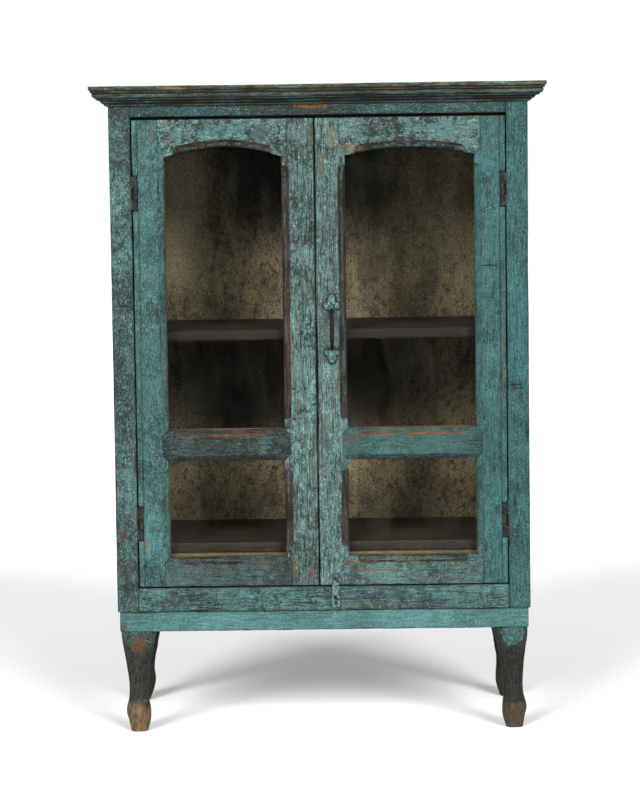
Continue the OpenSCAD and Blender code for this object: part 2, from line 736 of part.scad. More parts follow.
leg();  // leg_front_left
on_side(1) leg();  // leg_front_right
rear_leg();  // leg_rear_left
on_side(1) rear_leg();  // leg_rear_right
base_rail_across(front + base_inset);  // base_rail_front
base_rail_across(back - base_inset - base_rail_t);  // base_rail_rear
base_rail_side();  // base_rail_left
on_side(1) base_rail_side();  // base_rail_right
front_post();  // post_front_left
on_side(1) front_post();  // post_front_right
rear_post();  // post_rear_left
on_side(1) rear_post();  // post_rear_right
frame_top_rail();
frame_bottom_rail();
side_top_rail();  // side_top_rail_left
on_side(1) side_top_rail();  // side_top_rail_right
side_bottom_rail();  // side_bottom_rail_left
on_side(1) side_bottom_rail();  // side_bottom_rail_right
side_panel();  // side_panel_left
on_side(1) side_panel();  // side_panel_right
rear_rail(top_z - side_rail_h, top_z, REAR_TENONS[1]);  // rear_top_rail
rear_rail(case_z, case_z + side_rail_h, REAR_TENONS[0]);  // rear_bottom_rail
back_boards();
top_board();
floor_boards();
cornice_front();
cornice_side();  // cornice_left
on_side(1) cornice_side();  // cornice_right
door_stop_top();
door_stop_bottom();
shelf();
side_cleats();
shelf_back_cleat();
hinge_frame_leaves();
hinge_pins();
hinge_frame_screws();
in_left_door() hinge_stile(LEFT);  // left_hinge_stile
in_left_door() meeting_stile(LEFT);  // left_meeting_stile
in_left_door() top_rail(LEFT);  // left_top_rail
in_left_door() mid_rail(LEFT);  // left_mid_rail
in_left_door() bottom_rail(LEFT);  // left_bottom_rail
in_left_door() upper_pane(LEFT);  // left_upper_glass
in_left_door() lower_pane(LEFT);  // left_lower_glass
in_left_door() glazing_beads(LEFT);  // left_glazing_beads
in_left_door() door_hinge_leaves();  // left_hinge_leaves
in_left_door() door_hinge_screws();  // left_hinge_screws
in_right_door() hinge_stile(RIGHT);  // right_hinge_stile
in_right_door() meeting_stile(RIGHT, true);  // right_meeting_stile
in_right_door() top_rail(RIGHT);  // right_top_rail
in_right_door() mid_rail(RIGHT);  // right_mid_rail
in_right_door() bottom_rail(RIGHT);  // right_bottom_rail
in_right_door() upper_pane(RIGHT);  // right_upper_glass
in_right_door() lower_pane(RIGHT);  // right_lower_glass
in_right_door() glazing_beads(RIGHT);  // right_glazing_beads
in_right_door() door_hinge_leaves();  // right_hinge_leaves
in_right_door() door_hinge_screws();  // right_hinge_screws
in_right_door() pull_handle();
in_right_door() handle_nails();
in_right_door() hasp_staple();
hasp();
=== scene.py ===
"""Old teal china cabinet with a pair of glazed doors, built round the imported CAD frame."""

import json
import math

import bmesh
import bpy
import numpy as np
from mathutils import Matrix, Vector


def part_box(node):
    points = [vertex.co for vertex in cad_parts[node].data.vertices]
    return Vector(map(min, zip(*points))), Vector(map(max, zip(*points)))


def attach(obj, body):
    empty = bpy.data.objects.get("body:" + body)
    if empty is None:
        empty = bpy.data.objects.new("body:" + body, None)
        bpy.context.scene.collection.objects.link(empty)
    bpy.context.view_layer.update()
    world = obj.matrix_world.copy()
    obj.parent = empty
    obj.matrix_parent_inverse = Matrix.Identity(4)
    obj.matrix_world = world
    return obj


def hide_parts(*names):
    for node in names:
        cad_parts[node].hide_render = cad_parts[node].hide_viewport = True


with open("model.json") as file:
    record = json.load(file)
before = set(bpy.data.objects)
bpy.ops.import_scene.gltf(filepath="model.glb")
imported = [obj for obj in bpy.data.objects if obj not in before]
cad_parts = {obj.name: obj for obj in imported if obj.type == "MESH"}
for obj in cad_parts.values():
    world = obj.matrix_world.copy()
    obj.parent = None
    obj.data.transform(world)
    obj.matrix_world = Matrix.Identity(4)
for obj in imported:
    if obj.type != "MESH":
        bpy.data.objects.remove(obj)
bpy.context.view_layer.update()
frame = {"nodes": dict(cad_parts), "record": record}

NODES = frame["nodes"]
BODY = {n: b for b, ns in frame["record"]["behaviour"]["bodies"].items() for n in ns}
MM = 0.001


def low(node):
    return np.array(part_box(node)[0])


def high(node):
    return np.array(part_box(node)[1])


def linked(name, data):
    """A new object, linked into the scene."""
    obj = bpy.data.objects.new(name, data)
    bpy.context.collection.objects.link(obj)
    return obj


# ---------- camera: a long lens a little to the right, turned and tilted slightly ----------

LENS = 125.5
EYE = 0.05, 5.5, 1.169                    # metres to the right, in front of the posts' faces, and up
LEFT, DOWN, CLOCKWISE = 0.55, 5.21, 0.76  # degrees


def make_camera():
    data = bpy.data.cameras.new("camera")
    data.lens = LENS
    camera = linked("camera", data)
    turn = Matrix.Rotation(math.radians(LEFT), 4, "Z")
    tilt = Matrix.Rotation(math.radians(90 - DOWN), 4, "X")
    roll = Matrix.Rotation(math.radians(-CLOCKWISE), 4, "Z")
    eye = EYE[0], low("post_front_left")[1] - EYE[1], EYE[2]
    camera.matrix_world = Matrix.Translation(eye) @ turn @ tilt @ roll
    bpy.context.scene.camera = camera


make_camera()


# ---------- noise and curves ----------

def smooth(x, a, b):
    t = np.clip((np.asarray(x, float) - a) / (b - a), 0, 1)
    return t * t * (3 - 2 * t)


def lattice(ix, iy, iz, seed):
    h = (ix * 374761393 + iy * 668265263 + iz * 1440662683 + seed * 1274126177) & 0xFFFFFFFF
    h = ((h ^ (h >> 13)) * 1274126177) & 0xFFFFFFFF
    return (h ^ (h >> 16)) / 2147483647.5 - 1


def noise(p, seed):
    """Value noise from -1 to 1 at the points p, of shape (n, 3)."""
    cell = np.floor(p).astype(np.int64)
    f = p - cell
    f = f * f * f * (f * (f * 6 - 15) + 10)
    total = 0
    for dx in (0, 1):
        for dy in (0, 1):
            for dz in (0, 1):
                weight = (f[:, 0] if dx else 1 - f[:, 0]) * (f[:, 1] if dy else 1 - f[:, 1])
                weight = weight * (f[:, 2] if dz else 1 - f[:, 2])
                corner = lattice(cell[:, 0] + dx, cell[:, 1] + dy, cell[:, 2] + dz, seed)
                total = total + weight * corner
    return total


def fractal(p, seed, octaves=3):
    total = sum(noise(p * 2.0 ** k, seed + 17 * k) * 0.5 ** k for k in range(octaves))
    return total / (2 - 0.5 ** (octaves - 1))


# ---------- meshes ----------

def outline(corners, cut, counts, arc):
    """Rings of points round polygons of shape (stations, corners, 2), each corner cut off in a curve."""
    before = np.roll(corners, 1, axis=1) - corners
    after = np.roll(corners, -1, axis=1) - corners
    size_b = np.linalg.norm(before, axis=2)
    size_a = np.linalg.norm(after, axis=2)
    d = np.minimum(cut, 0.45 * np.minimum(size_b, size_a))
    start = corners + before * (d / np.maximum(size_b, 1e-9))[..., None]
    end = corners + after * (d / np.maximum(size_a, 1e-9))[..., None]
    points = []
    n = corners.shape[1]
    for j in range(n):
        for i in range(arc + 1):
            t = i / arc
            bend = (1 - t) ** 2 * start[:, j] + 2 * t * (1 - t) * corners[:, j]
            points.append(bend + t * t * end[:, j])
        for i in range(1, counts[j]):
            t = i / counts[j]
            points.append((1 - t) * end[:, j] + t * start[:, (j + 1) % n])
    return np.stack(points, axis=1)


def ring_faces(stations, n):
    """Faces of a closed tube of rings, with one many-sided face at each end."""
    faces = []
    for s in range(stations - 1):
        a, b = s * n, (s + 1) * n
        for k in range(n):
            m = (k + 1) % n
            faces.append((a + k, a + m, b + m, b + k))
    faces.append(tuple(range(n - 1, -1, -1)))
    last = (stations - 1) * n
    faces.append(tuple(last + k for k in range(n)))
    return faces


def end_stations(t0, t1, step, r, special=()):
    """Places along a piece, closer at its ends, and how far the section is drawn in at each."""
    inner = np.append(np.arange(t0 + r, t1 - r, step), t1 - r)
    keep = [t for t in inner if all(abs(t - s) > 0.15 * step for s in special)]
    t = np.concatenate([[t0, t0 + 0.3 * r, t1 - 0.3 * r, t1], keep, list(special)])
    t = np.unique(np.round(t, 6))
    edge = np.minimum(t - t0, t1 - t)
    inset = np.where(edge < 1e-7, r, np.where(edge < 0.5 * r, 0.3 * r, 0.0))
    return t, inset


def points_of(mesh):
    p = np.empty(len(mesh.vertices) * 3)
    mesh.vertices.foreach_get("co", p)
    return p.reshape(-1, 3)


def set_points(mesh, p):
    mesh.vertices.foreach_set("co", p.ravel())
    mesh.update()


def normals_of(mesh):
    mesh.update()
    n = np.empty(len(mesh.vertices) * 3)
    mesh.vertex_normals.foreach_get("vector", n)
    return n.reshape(-1, 3)


def write(mesh, key, values):
    """Gives the mesh's points a value each, which a material can read."""
    values = np.asarray(values, float).ravel()
    mesh.attributes.new(key, "FLOAT", "POINT").data.foreach_set("value", values)


def turn_faces(bm):
    bmesh.ops.reverse_faces(bm, faces=bm.faces)


GRAIN = {"x": 0, "y": 1, "z": 2}


def aged(obj, grain, seed, dent=0.35, warp=0.6, chip=0.8):
    """Moves a timber piece's points: a slow warp, dents along the grain, and chipped edges."""
    mesh = obj.data
    p = points_of(mesh)
    normal = normals_of(mesh)
    edge = np.empty(len(p))
    mesh.attributes["edge"].data.foreach_get("value", edge)
    stretch = np.ones(3)
    stretch[GRAIN[grain]] = 0.15
    q = p * stretch
    move = dent * MM * (0.6 * fractal(q * 90, seed) + 0.6 * fractal(p * 30, seed + 1, 2))
    bites = np.clip(fractal(q * 140, seed + 2, 2) * 1.6 - 0.1, 0, 1)
    bites = bites + np.clip(fractal(p * 60, seed + 3) - 0.25, 0, 1)
    move -= chip * MM * edge * (0.25 + bites)
    shift = np.stack([noise(p * 3.1 + k * 9.7, 5 + k) for k in range(3)], axis=1) * warp * MM
    set_points(mesh, p + normal * move[:, None] + shift)
    return obj


def new_object(name, verts, faces, attributes):
    mesh = bpy.data.meshes.new(name)
    mesh.from_pydata([tuple(v) for v in verts.tolist()], [], faces)
    for key, values in attributes.items():
        write(mesh, key, values)
    bm = bmesh.new()
    bm.from_mesh(mesh)
    if bm.calc_volume(signed=True) < 0:
        turn_faces(bm)
    bm.to_mesh(mesh)
    bm.free()
    mesh.shade_smooth()
    return linked(name, mesh)


def dress(obj, material):
    obj.data.materials.clear()
    obj.data.materials.append(material)


def place(obj, material, slot, *nodes, body=None):
    """Gives a piece its material, and lets it ride in place of its CAD nodes, which it hides; slot is not
    used.
    """
    dress(obj, material)
    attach(obj, body or BODY[nodes[0]])
    if nodes:
        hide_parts(*nodes)
    return obj


ARC = 3               # steps round a timber's corner


def sweep(name, t, inset, corners, cut, along, across, step=5 * MM, sharp=1.0, bare=0.0, worn_ends=0.6):
    """A timber section swept along an axis.

    corners has the shape (stations, corners, 2), in the two axes that across names.
    """
    stations = len(t)
    lows = corners.min(axis=1, keepdims=True) + inset[:, None, None]
    highs = corners.max(axis=1, keepdims=True) - inset[:, None, None]
    corners = np.minimum(np.maximum(corners, lows), highs)
    sides = np.linalg.norm(np.roll(corners, -1, axis=1) - corners, axis=2).max(axis=0)
    counts = [max(1, int(round(s / step))) for s in sides]
    rings = outline(corners, cut, counts, ARC)
    n = rings.shape[1]
    k = corners.shape[1]
    sharp = np.broadcast_to(np.asarray(sharp, float), (stations, k))
    bare = np.broadcast_to(np.asarray(bare, float), (stations, k))
    edge, naked = [], []
    for j in range(k):
        edge += [sharp[:, j]] * (ARC + 1)
        naked += [np.maximum(bare[:, j], bare[:, j - 1])] * (ARC + 1)
        for i in range(1, counts[j]):
            d = sides[j] * i / counts[j]
            near = sharp[:, j] * math.exp(-d / (3 * MM))
            near = near + sharp[:, (j + 1) % k] * math.exp(-(sides[j] - d) / (3 * MM))
            edge.append(np.minimum(near, 1))
            naked.append(bare[:, j])
    edge = np.stack(edge, axis=1)
    edge = np.maximum(edge, smooth(inset[:, None], 0, 0.4 * MM) * worn_ends)
    verts = np.zeros((stations, n, 3))
    verts[..., GRAIN[along]] = t[:, None]
    verts[..., GRAIN[across[0]]] = rings[..., 0]
    verts[..., GRAIN[across[1]]] = rings[..., 1]
    return new_object(name, verts.reshape(-1, 3), ring_faces(stations, n),
                      {"edge": edge, "bare": np.stack(naked, axis=1)})


def wandering(t, sizes, seed, stride):
    """The cut of each corner in mm, which varies along the piece."""
    cuts = []
    for k, size in enumerate(sizes):
        own = seed + stride * k
        p = np.stack([t * 22, np.full(len(t), own * 3.7), np.zeros(len(t))], axis=1)
        cuts.append(size * MM * np.clip(1 + 0.8 * fractal(p, int(own * 13) + 5), 0.25, 3))
    return np.stack(cuts, axis=1)


def board(name, a, b, along, seed, radius=1.6, step=6 * MM, row=5 * MM, **age):
    """A worn board between two opposite corners, with the grain along one axis."""
    axis = GRAIN[along]
    across = [c for c in "xyz" if c != along]
    i, j = (GRAIN[c] for c in across)
    t, inset = end_stations(a[axis], b[axis], step, radius * MM)
    square = np.array([[a[i], a[j]], [b[i], a[j]], [b[i], b[j]], [a[i], b[j]]])
    corners = np.repeat(square[None], len(t), axis=0)
    cut = wandering(t, [radius * 1.4] * 4, seed, 0.31)
    return aged(sweep(name, t, inset, corners, cut, along, across, row), along, seed, **age)


# ---------- materials ----------

class Tree:
    """Short calls for a node tree: each makes one node and returns the socket that it gives."""

    def __init__(self, tree):
        self.tree = tree

    def put(self, socket, value):
        if isinstance(value, bpy.types.NodeSocket):
            self.tree.links.new(value, socket)
        elif value is not None:
            socket.default_value = value

    def node(self, kind, **settings):
        n = self.tree.nodes.new(kind)
        for key, value in settings.items():
            setattr(n, key, value)
        return n

    def math(self, operation, a, b=None, clamp=False):
        n = self.node("ShaderNodeMath", operation=operation, use_clamp=clamp)
        self.put(n.inputs[0], a)
        self.put(n.inputs[1], b)
        return n.outputs[0]

    def vector(self, operation, a, b=None):
        n = self.node("ShaderNodeVectorMath", operation=operation)
        self.put(n.inputs[0], a)
        self.put(n.inputs[1], b)
        return n.outputs["Value" if operation == "LENGTH" else "Vector"]

    def add(self, *values):
        total = values[0]
        for v in values[1:]:
            total = self.math("ADD", total, v)
        return total

    def times(self, *values):
        total = values[0]
        for v in values[1:]:
            total = self.math("MULTIPLY", total, v)
        return total

    def scaled(self, vector, x, y, z, shift=(0, 0, 0)):
        n = self.node("ShaderNodeMapping")
        self.put(n.inputs["Vector"], vector)
        n.inputs["Scale"].default_value = (x, y, z)
        n.inputs["Location"].default_value = shift
        return n.outputs[0]

    def noise(self, vector, scale, detail=2.0, roughness=0.5, distortion=0.0):
        n = self.node("ShaderNodeTexNoise")
        self.put(n.inputs["Vector"], vector)
        self.put(n.inputs["Scale"], scale)
        self.put(n.inputs["Detail"], detail)
        self.put(n.inputs["Roughness"], roughness)
        self.put(n.inputs["Distortion"], distortion)
        return n.outputs[0]

    def cells(self, vector, scale):
        n = self.node("ShaderNodeTexVoronoi", feature="DISTANCE_TO_EDGE")
        self.put(n.inputs["Vector"], vector)
        self.put(n.inputs["Scale"], scale)
        return n.outputs["Distance"]

    def span(self, value, a, b, c=0.0, d=1.0):
        """Maps a..b to c..d smoothly, and holds outside."""
        n = self.node("ShaderNodeMapRange", interpolation_type="SMOOTHSTEP")
        keys = "Value", "From Min", "From Max", "To Min", "To Max"
        for key, v in zip(keys, (value, a, b, c, d)):
            self.put(n.inputs[key], v)
        return n.outputs[0]

    def mix(self, factor, a, b, blend="MIX"):
        n = self.node("ShaderNodeMix", data_type="RGBA", blend_type=blend, clamp_factor=True)
        self.put(n.inputs[0], factor)
        self.put(n.inputs[6], a)
        self.put(n.inputs[7], b)
        return n.outputs[2]

    def attribute(self, name):
        return self.node("ShaderNodeAttribute", attribute_name=name).outputs["Fac"]

    def bump(self, height, distance):
        n = self.node("ShaderNodeBump")
        n.inputs["Strength"].default_value = 1.0
        n.inputs["Distance"].default_value = distance
        self.put(n.inputs["Height"], height)
        return n.outputs[0]


LIGHT = 2.5           # how much brighter a face towards the camera comes out than its own colour


def colour(r, g, b):
    """The colour of a surface that looks like this on a screen, 0 to 255, in the scene's light."""
    def linear(v):
        v /= 255
        return (v / 12.92 if v <= 0.04045 else ((v + 0.055) / 1.055) ** 2.4) / LIGHT
    return (linear(r), linear(g), linear(b), 1)


def group(name, inputs, outputs, build):
    """A node group: inputs and outputs are (name, socket type, default) and (name, socket type)."""
    tree = bpy.data.node_groups.new(name, "ShaderNodeTree")
    for label, kind, default in inputs:
        s = tree.interface.new_socket(label, in_out="INPUT", socket_type=kind)
        if default is not None:
            s.default_value = default
    for label, kind in outputs:
        tree.interface.new_socket(label, in_out="OUTPUT", socket_type=kind)
    ins = tree.nodes.new("NodeGroupInput")
    outs = tree.nodes.new("NodeGroupOutput")
    t = Tree(tree)
    results = build(t, {label: ins.outputs[label] for label, _, _ in inputs})
    for label, value in results.items():
        t.put(outs.inputs[label], value)
    return tree


F, C, V = "NodeSocketFloat", "NodeSocketColor", "NodeSocketVector"


def build_paint(t, g):
    """Cracked, rubbed paint over old timber. The vector's X runs along the grain."""
    v = g["Vector"]
    swirl = t.node("ShaderNodeTexNoise")
    t.put(swirl.inputs["Vector"], v)
    swirl.inputs["Scale"].default_value = 22
    swirl.inputs["Detail"].default_value = 3
    push = t.node("ShaderNodeVectorMath", operation="SCALE")
    t.put(push.inputs[0], swirl.outputs["Color"])
    t.put(push.inputs["Scale"], t.times(g["Swirl"], 0.012))
    bent = t.vector("ADD", v, push.outputs[0])
    grain = t.scaled(bent, 0.07, 1, 1)
    edge = t.times(t.attribute("edge"), g["Edge"])
    bare = t.times(t.attribute("bare"), g["Bare"])

    # The paint's own tone: slow patches, streaks with the grain and pale flecks
    broad = t.span(t.noise(v, 6, 4, 0.6), 0.38, 0.62)
    tone = t.mix(broad, g["Paint"], g["Paint 2"])
    streak = t.noise(grain, 420, 5, 0.8)
    tone = t.mix(1.0, tone, t.span(streak, 0.3, 0.7, 0.5, 1.5), "MULTIPLY")
    mottle = t.noise(bent, 500, 5, 0.8)
    tone = t.mix(1.0, tone, t.span(mottle, 0.34, 0.66, 0.5, 1.5), "MULTIPLY")
    fleck = t.noise(t.scaled(bent, 0.5, 1, 1, (7.0, 0.3, 2.2)), 520, 3, 0.7)
    fleck = t.span(fleck, 0.56, 0.6)
    tone = t.mix(t.times(fleck, g["Flecks"]), tone, g["Light"])

    # Timber that shows where the paint is gone
    fibre = t.noise(grain, 330, 8, 0.7, 0.4)
    wood = t.mix(t.span(t.noise(v, 14, 5, 0.65), 0.42, 0.58), g["Wood"], g["Wood 2"])
    wood = t.mix(1.0, wood, t.span(fibre, 0.3, 0.7, 0.4, 1.6), "MULTIPLY")

    ragged = t.noise(grain, 210, 8, 0.8)
    patch = t.noise(bent, 34, 8, 0.76)
    field = t.add(t.times(ragged, 0.7), t.times(patch, 0.3))
    limit = t.math("SUBTRACT", 0.70, t.times(g["Loss"], 0.26))
    limit = t.math("SUBTRACT", limit, t.times(edge, 0.15))
    limit = t.math("SUBTRACT", limit, t.times(bare, 0.17))
    tone = t.mix(t.times(bare, 0.35), tone, g["Wood 2"])
    lost = t.span(t.math("SUBTRACT", field, limit), -0.01, 0.015)

    # Alligator cracks, pits, and streaks worn down to the dark undercoat
    zone = t.span(t.noise(v, 21, 5, 0.65), 0.36, 0.62)
    wide = t.cells(t.scaled(bent, 0.4, 1, 1), 165)
    wide = t.span(wide, 0.07, 0.17, 1.0, 0.0)
    small = t.cells(t.scaled(bent, 0.6, 1, 1, (3.1, 1.7, 0.4)), 300)
    small = t.span(small, 0.09, 0.22, 1.0, 0.0)
    breaks = t.span(t.noise(v, 90, 5, 0.7), 0.44, 0.53)
    cracks = t.times(t.math("MAXIMUM", wide, t.times(small, 0.8)), breaks)
    cracks = t.times(cracks, g["Crackle"], t.span(zone, 0, 1, 0.3, 1.0))
    cluster = t.math("SUBTRACT", t.noise(v, 15, 4, 0.6), 0.5)
    cluster = t.times(cluster, t.span(g["Streaks"], 0.3, 0.9, 0.5, 0.22))
    pits = t.add(t.noise(t.scaled(bent, 0.75, 1, 1), 520, 3, 0.66), cluster)
    limit = t.math("SUBTRACT", 0.69, t.times(g["Pits"], 0.18))
    pits = t.span(t.math("SUBTRACT", pits, limit), -0.01, 0.02)
    worn = t.noise(t.scaled(bent, 0.05, 1, 1, (2.0, 5.0, 1.0)), 460, 5, 0.76)
    worn = t.add(worn, t.times(cluster, 0.5))
    limit = t.math("SUBTRACT", 0.69, t.times(g["Streaks"], 0.2))
    worn = t.span(t.math("SUBTRACT", worn, limit), -0.01, 0.025)
    dark = t.math("MAXIMUM", t.math("MAXIMUM", cracks, pits), worn, True)
    under = t.mix(t.span(mottle, 0.4, 0.6), g["Under"], colour(12, 12, 11))

    split = t.span(t.noise(t.scaled(v, 0.03, 1, 1, (0.7, 0.2, 5.1)), 200, 4, 0.6), 0.665, 0.71)
    split = t.times(split, g["Splits"])
    rub = t.noise(t.scaled(bent, 0.09, 1, 1, (1.3, 4.2, 0.9)), 130, 8, 0.8)
    rub = t.times(t.span(rub, 0.47, 0.56), g["Rub"])

    shade = t.mix(rub, tone, g["Rubbed"])
    shade = t.mix(t.times(dark, 0.92), shade, under)
    shade = t.mix(lost, shade, wood)
    shade = t.mix(t.times(split, 0.9), shade, colour(26, 22, 19))
    dirt_and_shade = t.span(t.add(t.noise(bent, 16, 6, 0.7), t.times(t.attribute("dirt_and_shade"), 0.4)), 0.52, 0.8)
    shade = t.mix(t.times(dirt_and_shade, g["Dirt"]), shade, colour(38, 40, 34))

    height = t.math("SUBTRACT", t.times(t.math("SUBTRACT", 1.0, lost), 0.5), t.times(dark, 0.6))
    height = t.math("SUBTRACT", height, t.times(split, 1.2))
    height = t.add(height, t.times(streak, 0.4), t.times(mottle, 0.3), t.times(fibre, lost, 0.5))
    rough = t.add(0.62, t.times(lost, 0.2), t.times(mottle, 0.15))
    return {"Color": shade, "Roughness": rough, "Height": height}


PAINT_INPUTS = [
    ("Vector", V, None), ("Paint", C, colour(92, 134, 131)), ("Paint 2", C, colour(72, 112, 110)),
    ("Light", C, colour(146, 184, 176)), ("Under", C, colour(38, 37, 34)), ("Swirl", F, 0.3),
    ("Wood", C, colour(84, 79, 68)), ("Wood 2", C, colour(46, 43, 37)),
    ("Rubbed", C, colour(92, 92, 88)),
    ("Loss", F, 0.3), ("Edge", F, 1.0), ("Bare", F, 1.0), ("Crackle", F, 0.8), ("Pits", F, 0.5),
    ("Streaks", F, 0.4), ("Flecks", F, 0.5), ("Rub", F, 0.3), ("Splits", F, 0.5), ("Dirt", F, 0.3),
]
OUTPUTS = [("Color", C), ("Roughness", F), ("Height", F)]
PAINT = group("cracked_paint", PAINT_INPUTS, OUTPUTS, build_paint)


def build_timber(t, g):
    """Unpainted old boards: mottled, streaked with the grain, stained. X runs along the grain."""
    v = g["Vector"]
    grain = t.scaled(v, 0.1, 1, 1)
    fibre = t.noise(grain, 330, 8, 0.75, 0.3)
    band = t.noise(t.scaled(v, 0.3, 1, 1, (4.0, 1.0, 2.0)), 16, 6, 0.65, 0.6)
    tone = t.mix(t.span(band, 0.36, 0.62), g["Light"], g["Dark"])
    tone = t.mix(1.0, tone, t.span(fibre, 0.3, 0.7, 0.6, 1.4), "MULTIPLY")
    blot = t.noise(t.scaled(v, 0.8, 1, 1), 90, 8, 0.8)
    tone = t.mix(t.times(t.span(blot, 0.5, 0.6), g["Blotch"]), tone, g["Stain"])
    scurf = t.noise(t.scaled(v, 0.6, 1, 1, (1.1, 2.7, 0.8)), 330, 6, 0.8)
    where = t.span(t.noise(v, 19, 5, 0.7), 0.42, 0.6)
    grit = t.noise(t.scaled(v, 0.7, 1, 1, (0.2, 0.9, 3.8)), 520, 4, 0.8)
    tone = t.mix(1.0, tone, t.span(grit, 0.34, 0.66, 0.35, 1.65), "MULTIPLY")
    tone = t.mix(t.times(t.span(scurf, 0.5, 0.62), where, g["Blotch"]), tone, g["Pale"])
    edge = t.attribute("edge")
    tone = t.mix(t.times(edge, t.span(fibre, 0.35, 0.6), g["Edge"]), tone, g["Pale"])
    # Painted light: the back boards' point attribute turns the timber paler, broken up by the grit
    painted_light = t.times(t.attribute("painted_light"), t.span(grit, 0.4, 0.62, 0.2, 0.8))
    tone = t.mix(painted_light, tone, g["Pale"])
    # Painted shadow: the back boards' point attribute darkens them towards near black, a little unevenly
    # with the grain bands
    dirt_and_shade = t.attribute("dirt_and_shade")
    painted_shadow = t.add(dirt_and_shade, t.times(t.math("SUBTRACT", band, 0.5), dirt_and_shade, 0.8))
    tone = t.mix(t.times(t.span(painted_shadow, 0.0, 0.9), 0.95), tone, colour(11, 12, 10))
    height = t.add(t.times(fibre, 0.7), t.times(scurf, 0.5))
    return {"Color": tone, "Roughness": t.add(0.62, t.times(fibre, 0.25)), "Height": height}


TIMBER_INPUTS = [
    ("Vector", V, None), ("Light", C, colour(136, 122, 90)), ("Dark", C, colour(98, 88, 68)),
    ("Stain", C, colour(54, 49, 39)), ("Pale", C, colour(184, 172, 134)), ("Blotch", F, 0.6),
    ("Edge", F, 0.2),
]
TIMBER = group("old_timber", TIMBER_INPUTS, OUTPUTS, build_timber)


def facing(t, none, full):
    """1 where a surface faces the front or the back of the case, and 0 on its sides."""
    parts = t.node("ShaderNodeSeparateXYZ")
    t.put(parts.inputs[0], t.node("ShaderNodeNewGeometry").outputs["True Normal"])
    return t.span(t.math("ABSOLUTE", parts.outputs["Y"]), none, full)


def build_rust(t, g):
    """Dark wrought iron, rusty in patches, with remains of paint."""
    v = g["Vector"]
    patch = t.noise(v, 260, 8, 0.75)
    grit = t.noise(v, 700, 5, 0.7)
    tone = t.mix(t.span(patch, 0.42, 0.62), colour(17, 15, 14), colour(56, 43, 35))
    tone = t.mix(t.times(t.span(grit, 0.55, 0.7), 0.6), tone, colour(92, 80, 68))
    kept = t.add(t.times(t.noise(v, 210, 7, 0.75), 0.7), t.times(t.noise(v, 60, 3), 0.3))
    kept = t.times(t.span(kept, 0.47, 0.52), g["Painted"])
    kept = t.times(kept, t.math("SUBTRACT", 1.0, t.times(t.attribute("edge"), 0.6)))
    # Paint is kept only on faces towards the front and back, so the sides come out dark iron: painted shade
    # as an outline
    kept = t.times(kept, facing(t, 0.3, 0.75))
    film = t.mix(t.span(grit, 0.35, 0.65), g["Paint"], colour(140, 188, 182))
    tone = t.mix(kept, tone, film)
    height = t.add(t.times(patch, 0.5), t.times(grit, 0.4), t.times(kept, 0.6))
    return {"Color": tone, "Roughness": t.add(0.5, t.times(grit, 0.3)), "Height": height}


RUST_INPUTS = [("Vector", V, None), ("Paint", C, colour(104, 150, 146)), ("Painted", F, 0.0)]
RUST = group("rusty_iron", RUST_INPUTS, OUTPUTS, build_rust)

# Turns object coordinates so that X runs along the grain
TURN = {"x": (0, 0, 0), "y": (0, 0, -math.pi / 2), "z": (0, math.pi / 2, 0)}


def new_material(name):
    """A material, calls for its node tree, and its shader."""
    m = bpy.data.materials.new(name)
    m.use_nodes = True
    return m, Tree(m.node_tree), m.node_tree.nodes["Principled BSDF"]


def object_place(t):
    return t.node("ShaderNodeTexCoord").outputs["Object"]


def painted_over(m):
    """Calls for the material's node tree, the socket of its base colour, and what feeds that."""
    socket = m.node_tree.nodes["Principled BSDF"].inputs["Base Color"]
    return Tree(m.node_tree), socket, socket.links[0].from_socket


def surface(name, tree, grain, seed, metallic=0.0, depth=0.5, **values):
    """A material round one of the groups; values are the group's inputs, a colour as on a screen."""
    m, t, shader = new_material(name)
    turn = t.node("ShaderNodeMapping")
    t.put(turn.inputs["Vector"], object_place(t))
    turn.inputs["Rotation"].default_value = TURN[grain]
    turn.inputs["Location"].default_value = (seed * 1.37, seed * 2.11, seed * 0.73)
    g = t.node("ShaderNodeGroup", node_tree=tree)
    t.put(g.inputs["Vector"], turn.outputs[0])
    for key, value in values.items():
        value = colour(*value) if isinstance(value, tuple) else value
        g.inputs[key.replace("_", " ").title()].default_value = value
    t.put(shader.inputs["Base Color"], g.outputs["Color"])
    t.put(shader.inputs["Roughness"], g.outputs["Roughness"])
    t.put(shader.inputs["Normal"], t.bump(g.outputs["Height"], depth * MM))
    shader.inputs["Metallic"].default_value = metallic
    shader.inputs["Specular IOR Level"].default_value = 0.12
    return m


def blob(t, where, centre, size, ragged):
    """A mask round a place, ragged at its edge. size is its half width along x, y and z."""
    near = t.vector("SUBTRACT", where, centre)
    length = t.vector("LENGTH", t.vector("DIVIDE", near, size))
    rough = t.add(t.noise(where, 70, 6, 0.75), t.noise(where, 300, 4, 0.75), -1.0)
    rough = t.times(rough, ragged * 2.6)
    return t.span(t.add(length, rough), 0.85, 1.05, 1.0, 0.0)


HASP = (low("hasp")[0] + high("hasp")[0]) / 2 / MM
